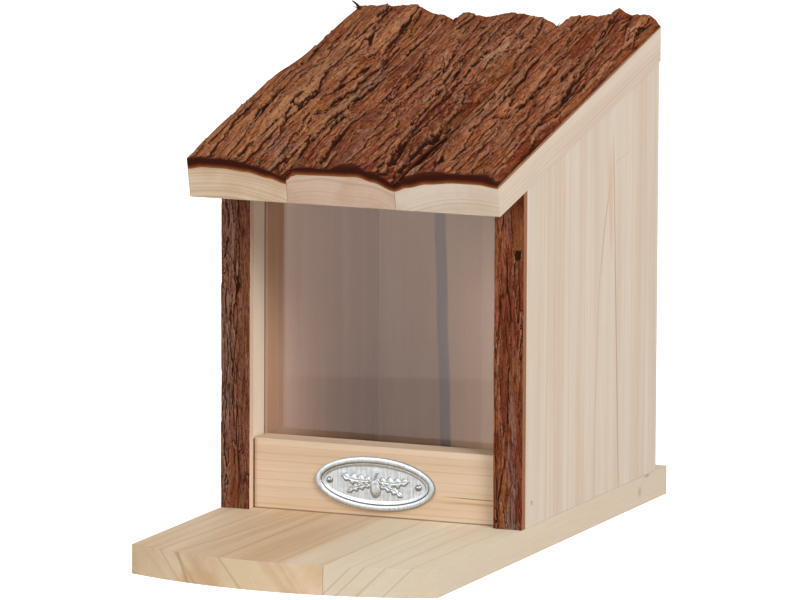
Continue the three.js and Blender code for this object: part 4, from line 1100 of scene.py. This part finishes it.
def leaf(u, v, base, tip, wide, bend):
    """How far inside an oak leaf each point lies, in mm, and its ribs."""
    run = math.hypot(tip[0] - base[0], tip[1] - base[1])
    share = ((u - base[0]) * (tip[0] - base[0]) + (v - base[1]) * (tip[1] - base[1])) / run ** 2
    off = ((u - base[0]) * (tip[1] - base[1]) - (v - base[1]) * (tip[0] - base[0])) / run
    held = np.clip(share, 0, 1)
    off = off + bend * 4 * held * (1 - held)
    lobed = wide * np.sqrt(np.sin(np.pi * held ** 0.8)) * (0.75 - 0.25 * np.cos(2 * np.pi * 4.2 * held))
    inside = np.where((share > 0) & (share < 1), lobed - np.abs(off), -1.0)
    side_ribs = np.exp(-(((share * run - 0.8 * np.abs(off)) % 2.6 - 1.3) / 0.2) ** 2)
    return inside, np.maximum(np.exp(-(off / 0.25) ** 2), 0.6 * side_ribs)


def badge_face(u, v, share):
    """The badge's height over the rail in mm, and where dirt stays."""
    wide, high = BADGE_RADII
    inset = (1 - share) * wide * high / np.hypot(high * u / (wide * share), wide * v / (high * share))
    rim = 1.1 + 0.36 * np.sqrt(np.clip(1 - ((inset - 1.15) / 1.2) ** 2, 0, 1))
    slope = 0.75 + 0.36 * smoothstep(4.2, 2.7, inset)
    height = np.where(inset < 2.3, rim, slope - 0.3 * smoothstep(2.75, 2.5, inset))
    height = height + 0.05 * rough_noise(u / 2.5, v / 2.5, 3, 61)
    dirt = 0.9 * np.exp(-((inset - 2.45) / 0.28) ** 2) + 0.5 * np.exp(-(inset / 0.25) ** 2)
    nut = 2.3 * (1 - np.hypot((u - 0.2) / 2.3, (v + 1.9) / 3.6))
    cup = np.where(v > -0.1, 2.9 * (1 - np.hypot(u / 2.9, (v - 0.2) / 2.3)), -1.0)
    scales = 0.6 * np.abs(np.cos(3.6 * (u + v)) * np.cos(3.6 * (u - v)))
    stem = np.where((v > 2.0) & (v < 4.9), 0.35 - np.abs(u - 0.12 * (v - 2) ** 2), -1.0)
    shapes = [(nut, 0.0, 1.2), (cup, scales, 1.2), (stem, 0.0, 0.5)]
    for side in (-1, 1):
        shapes.append(leaf(u, v, (side * 1.6, 1.4), (side * 15.2, 2.6), 2.5, side * -1.0) + (0.8,))
        shapes.append(leaf(u, v, (side * 2.0, -0.6), (side * 12.4, -4.6), 1.9, side * 0.9) + (0.8,))
    for inside, ribs, soft in shapes:
        raised = 0.62 * smoothstep(-0.05, soft, inside) ** 0.7
        height = height + (raised - 0.2 * ribs * (inside > 0)) * (height < 1.35)
        dirt = np.maximum(dirt, 0.75 * np.exp(-((inside + 0.08) / 0.2) ** 2))
    return np.clip(height, 0.3, 1.5), np.clip(dirt, 0, 1)


def dome_face(u, v, share):
    """A domed nail head with dirt around its rim."""
    return NAIL_DOME * np.sqrt(np.clip(1 - share ** 2, 0, 1)), 0.8 * smoothstep(0.75, 1, share)


def cross_face(u, v, share):
    """A flat screw head with a cross recess that narrows as it goes in."""
    radius = np.hypot(u, v) / np.maximum(share, 1e-6)
    arm = np.minimum(np.abs(u), np.abs(v)) / radius
    inside = smoothstep(0.17, 0.09, arm) * smoothstep(0.62, 0.5, share)
    return -0.8 * inside * (1.15 - share), 0.9 * inside


BADGE_MIDDLE, BADGE_RADII, BADGE_TILT = (0.35, -25.52, 25.7), (26.0, 11.0), math.radians(-1.2)
NAIL_RADIUS, NAIL_DOME, NAIL_Y = 1.4, 1.0, -26.25
level = (math.cos(BADGE_TILT), 0, math.sin(BADGE_TILT))
upright = (-math.sin(BADGE_TILT), 0, math.cos(BADGE_TILT))
badge = relief_disc("badge", (BADGE_MIDDLE, level, upright, FRONT), BADGE_RADII, badge_face,
                    [(1.0, 0.0)], zinc, rings=110, turns=420, crowd=1.5)
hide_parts("badge_plate")
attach(badge, "box")
for side, x, z in (("left", -19.7, 26.1), ("right", 19.3, 25.4)):
    nail = relief_disc(side + "_nail", ((x, NAIL_Y, z), level, upright, FRONT), (NAIL_RADIUS, NAIL_RADIUS),
                       dome_face, [(0.5, 0.0), (0.5, -8.5), (0.1, -9.2)], nail_metal, rings=14, turns=40)
    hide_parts(side + "_badge_nail")
    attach(nail, "box")
screws = [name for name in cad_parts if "screw" in name]
for name in screws:
    low, high = (np.array([value / MM for value in corner]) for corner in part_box(name))
    middle, span = (low + high) / 2, high - low
    radius = span[0] / 2
    # The hinges' screws look out of the back, the others out of the base's underside
    if "leaf" in name:
        place, length = (middle * [1, 0, 1] + [0, high[1], 0], (-1, 0, 0), (0, 0, 1), (0, 1, 0)), span[1]
    else:
        place, length = (middle * [1, 1, 0] + [0, 0, low[2]], (1, 0, 0), (0, -1, 0), (0, 0, -1)), span[2]
    screw = relief_disc(name + "_turned", place, (radius, radius), cross_face,
                        [(0.52, -0.5 * radius), (0.52, 1 - length), (0.1, -length)], plated,
                        rings=24, turns=64)
    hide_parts(name)
    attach(screw, "lid" if "lid" in name else "box")
print("badge, 2 nails and", len(screws), "screws")
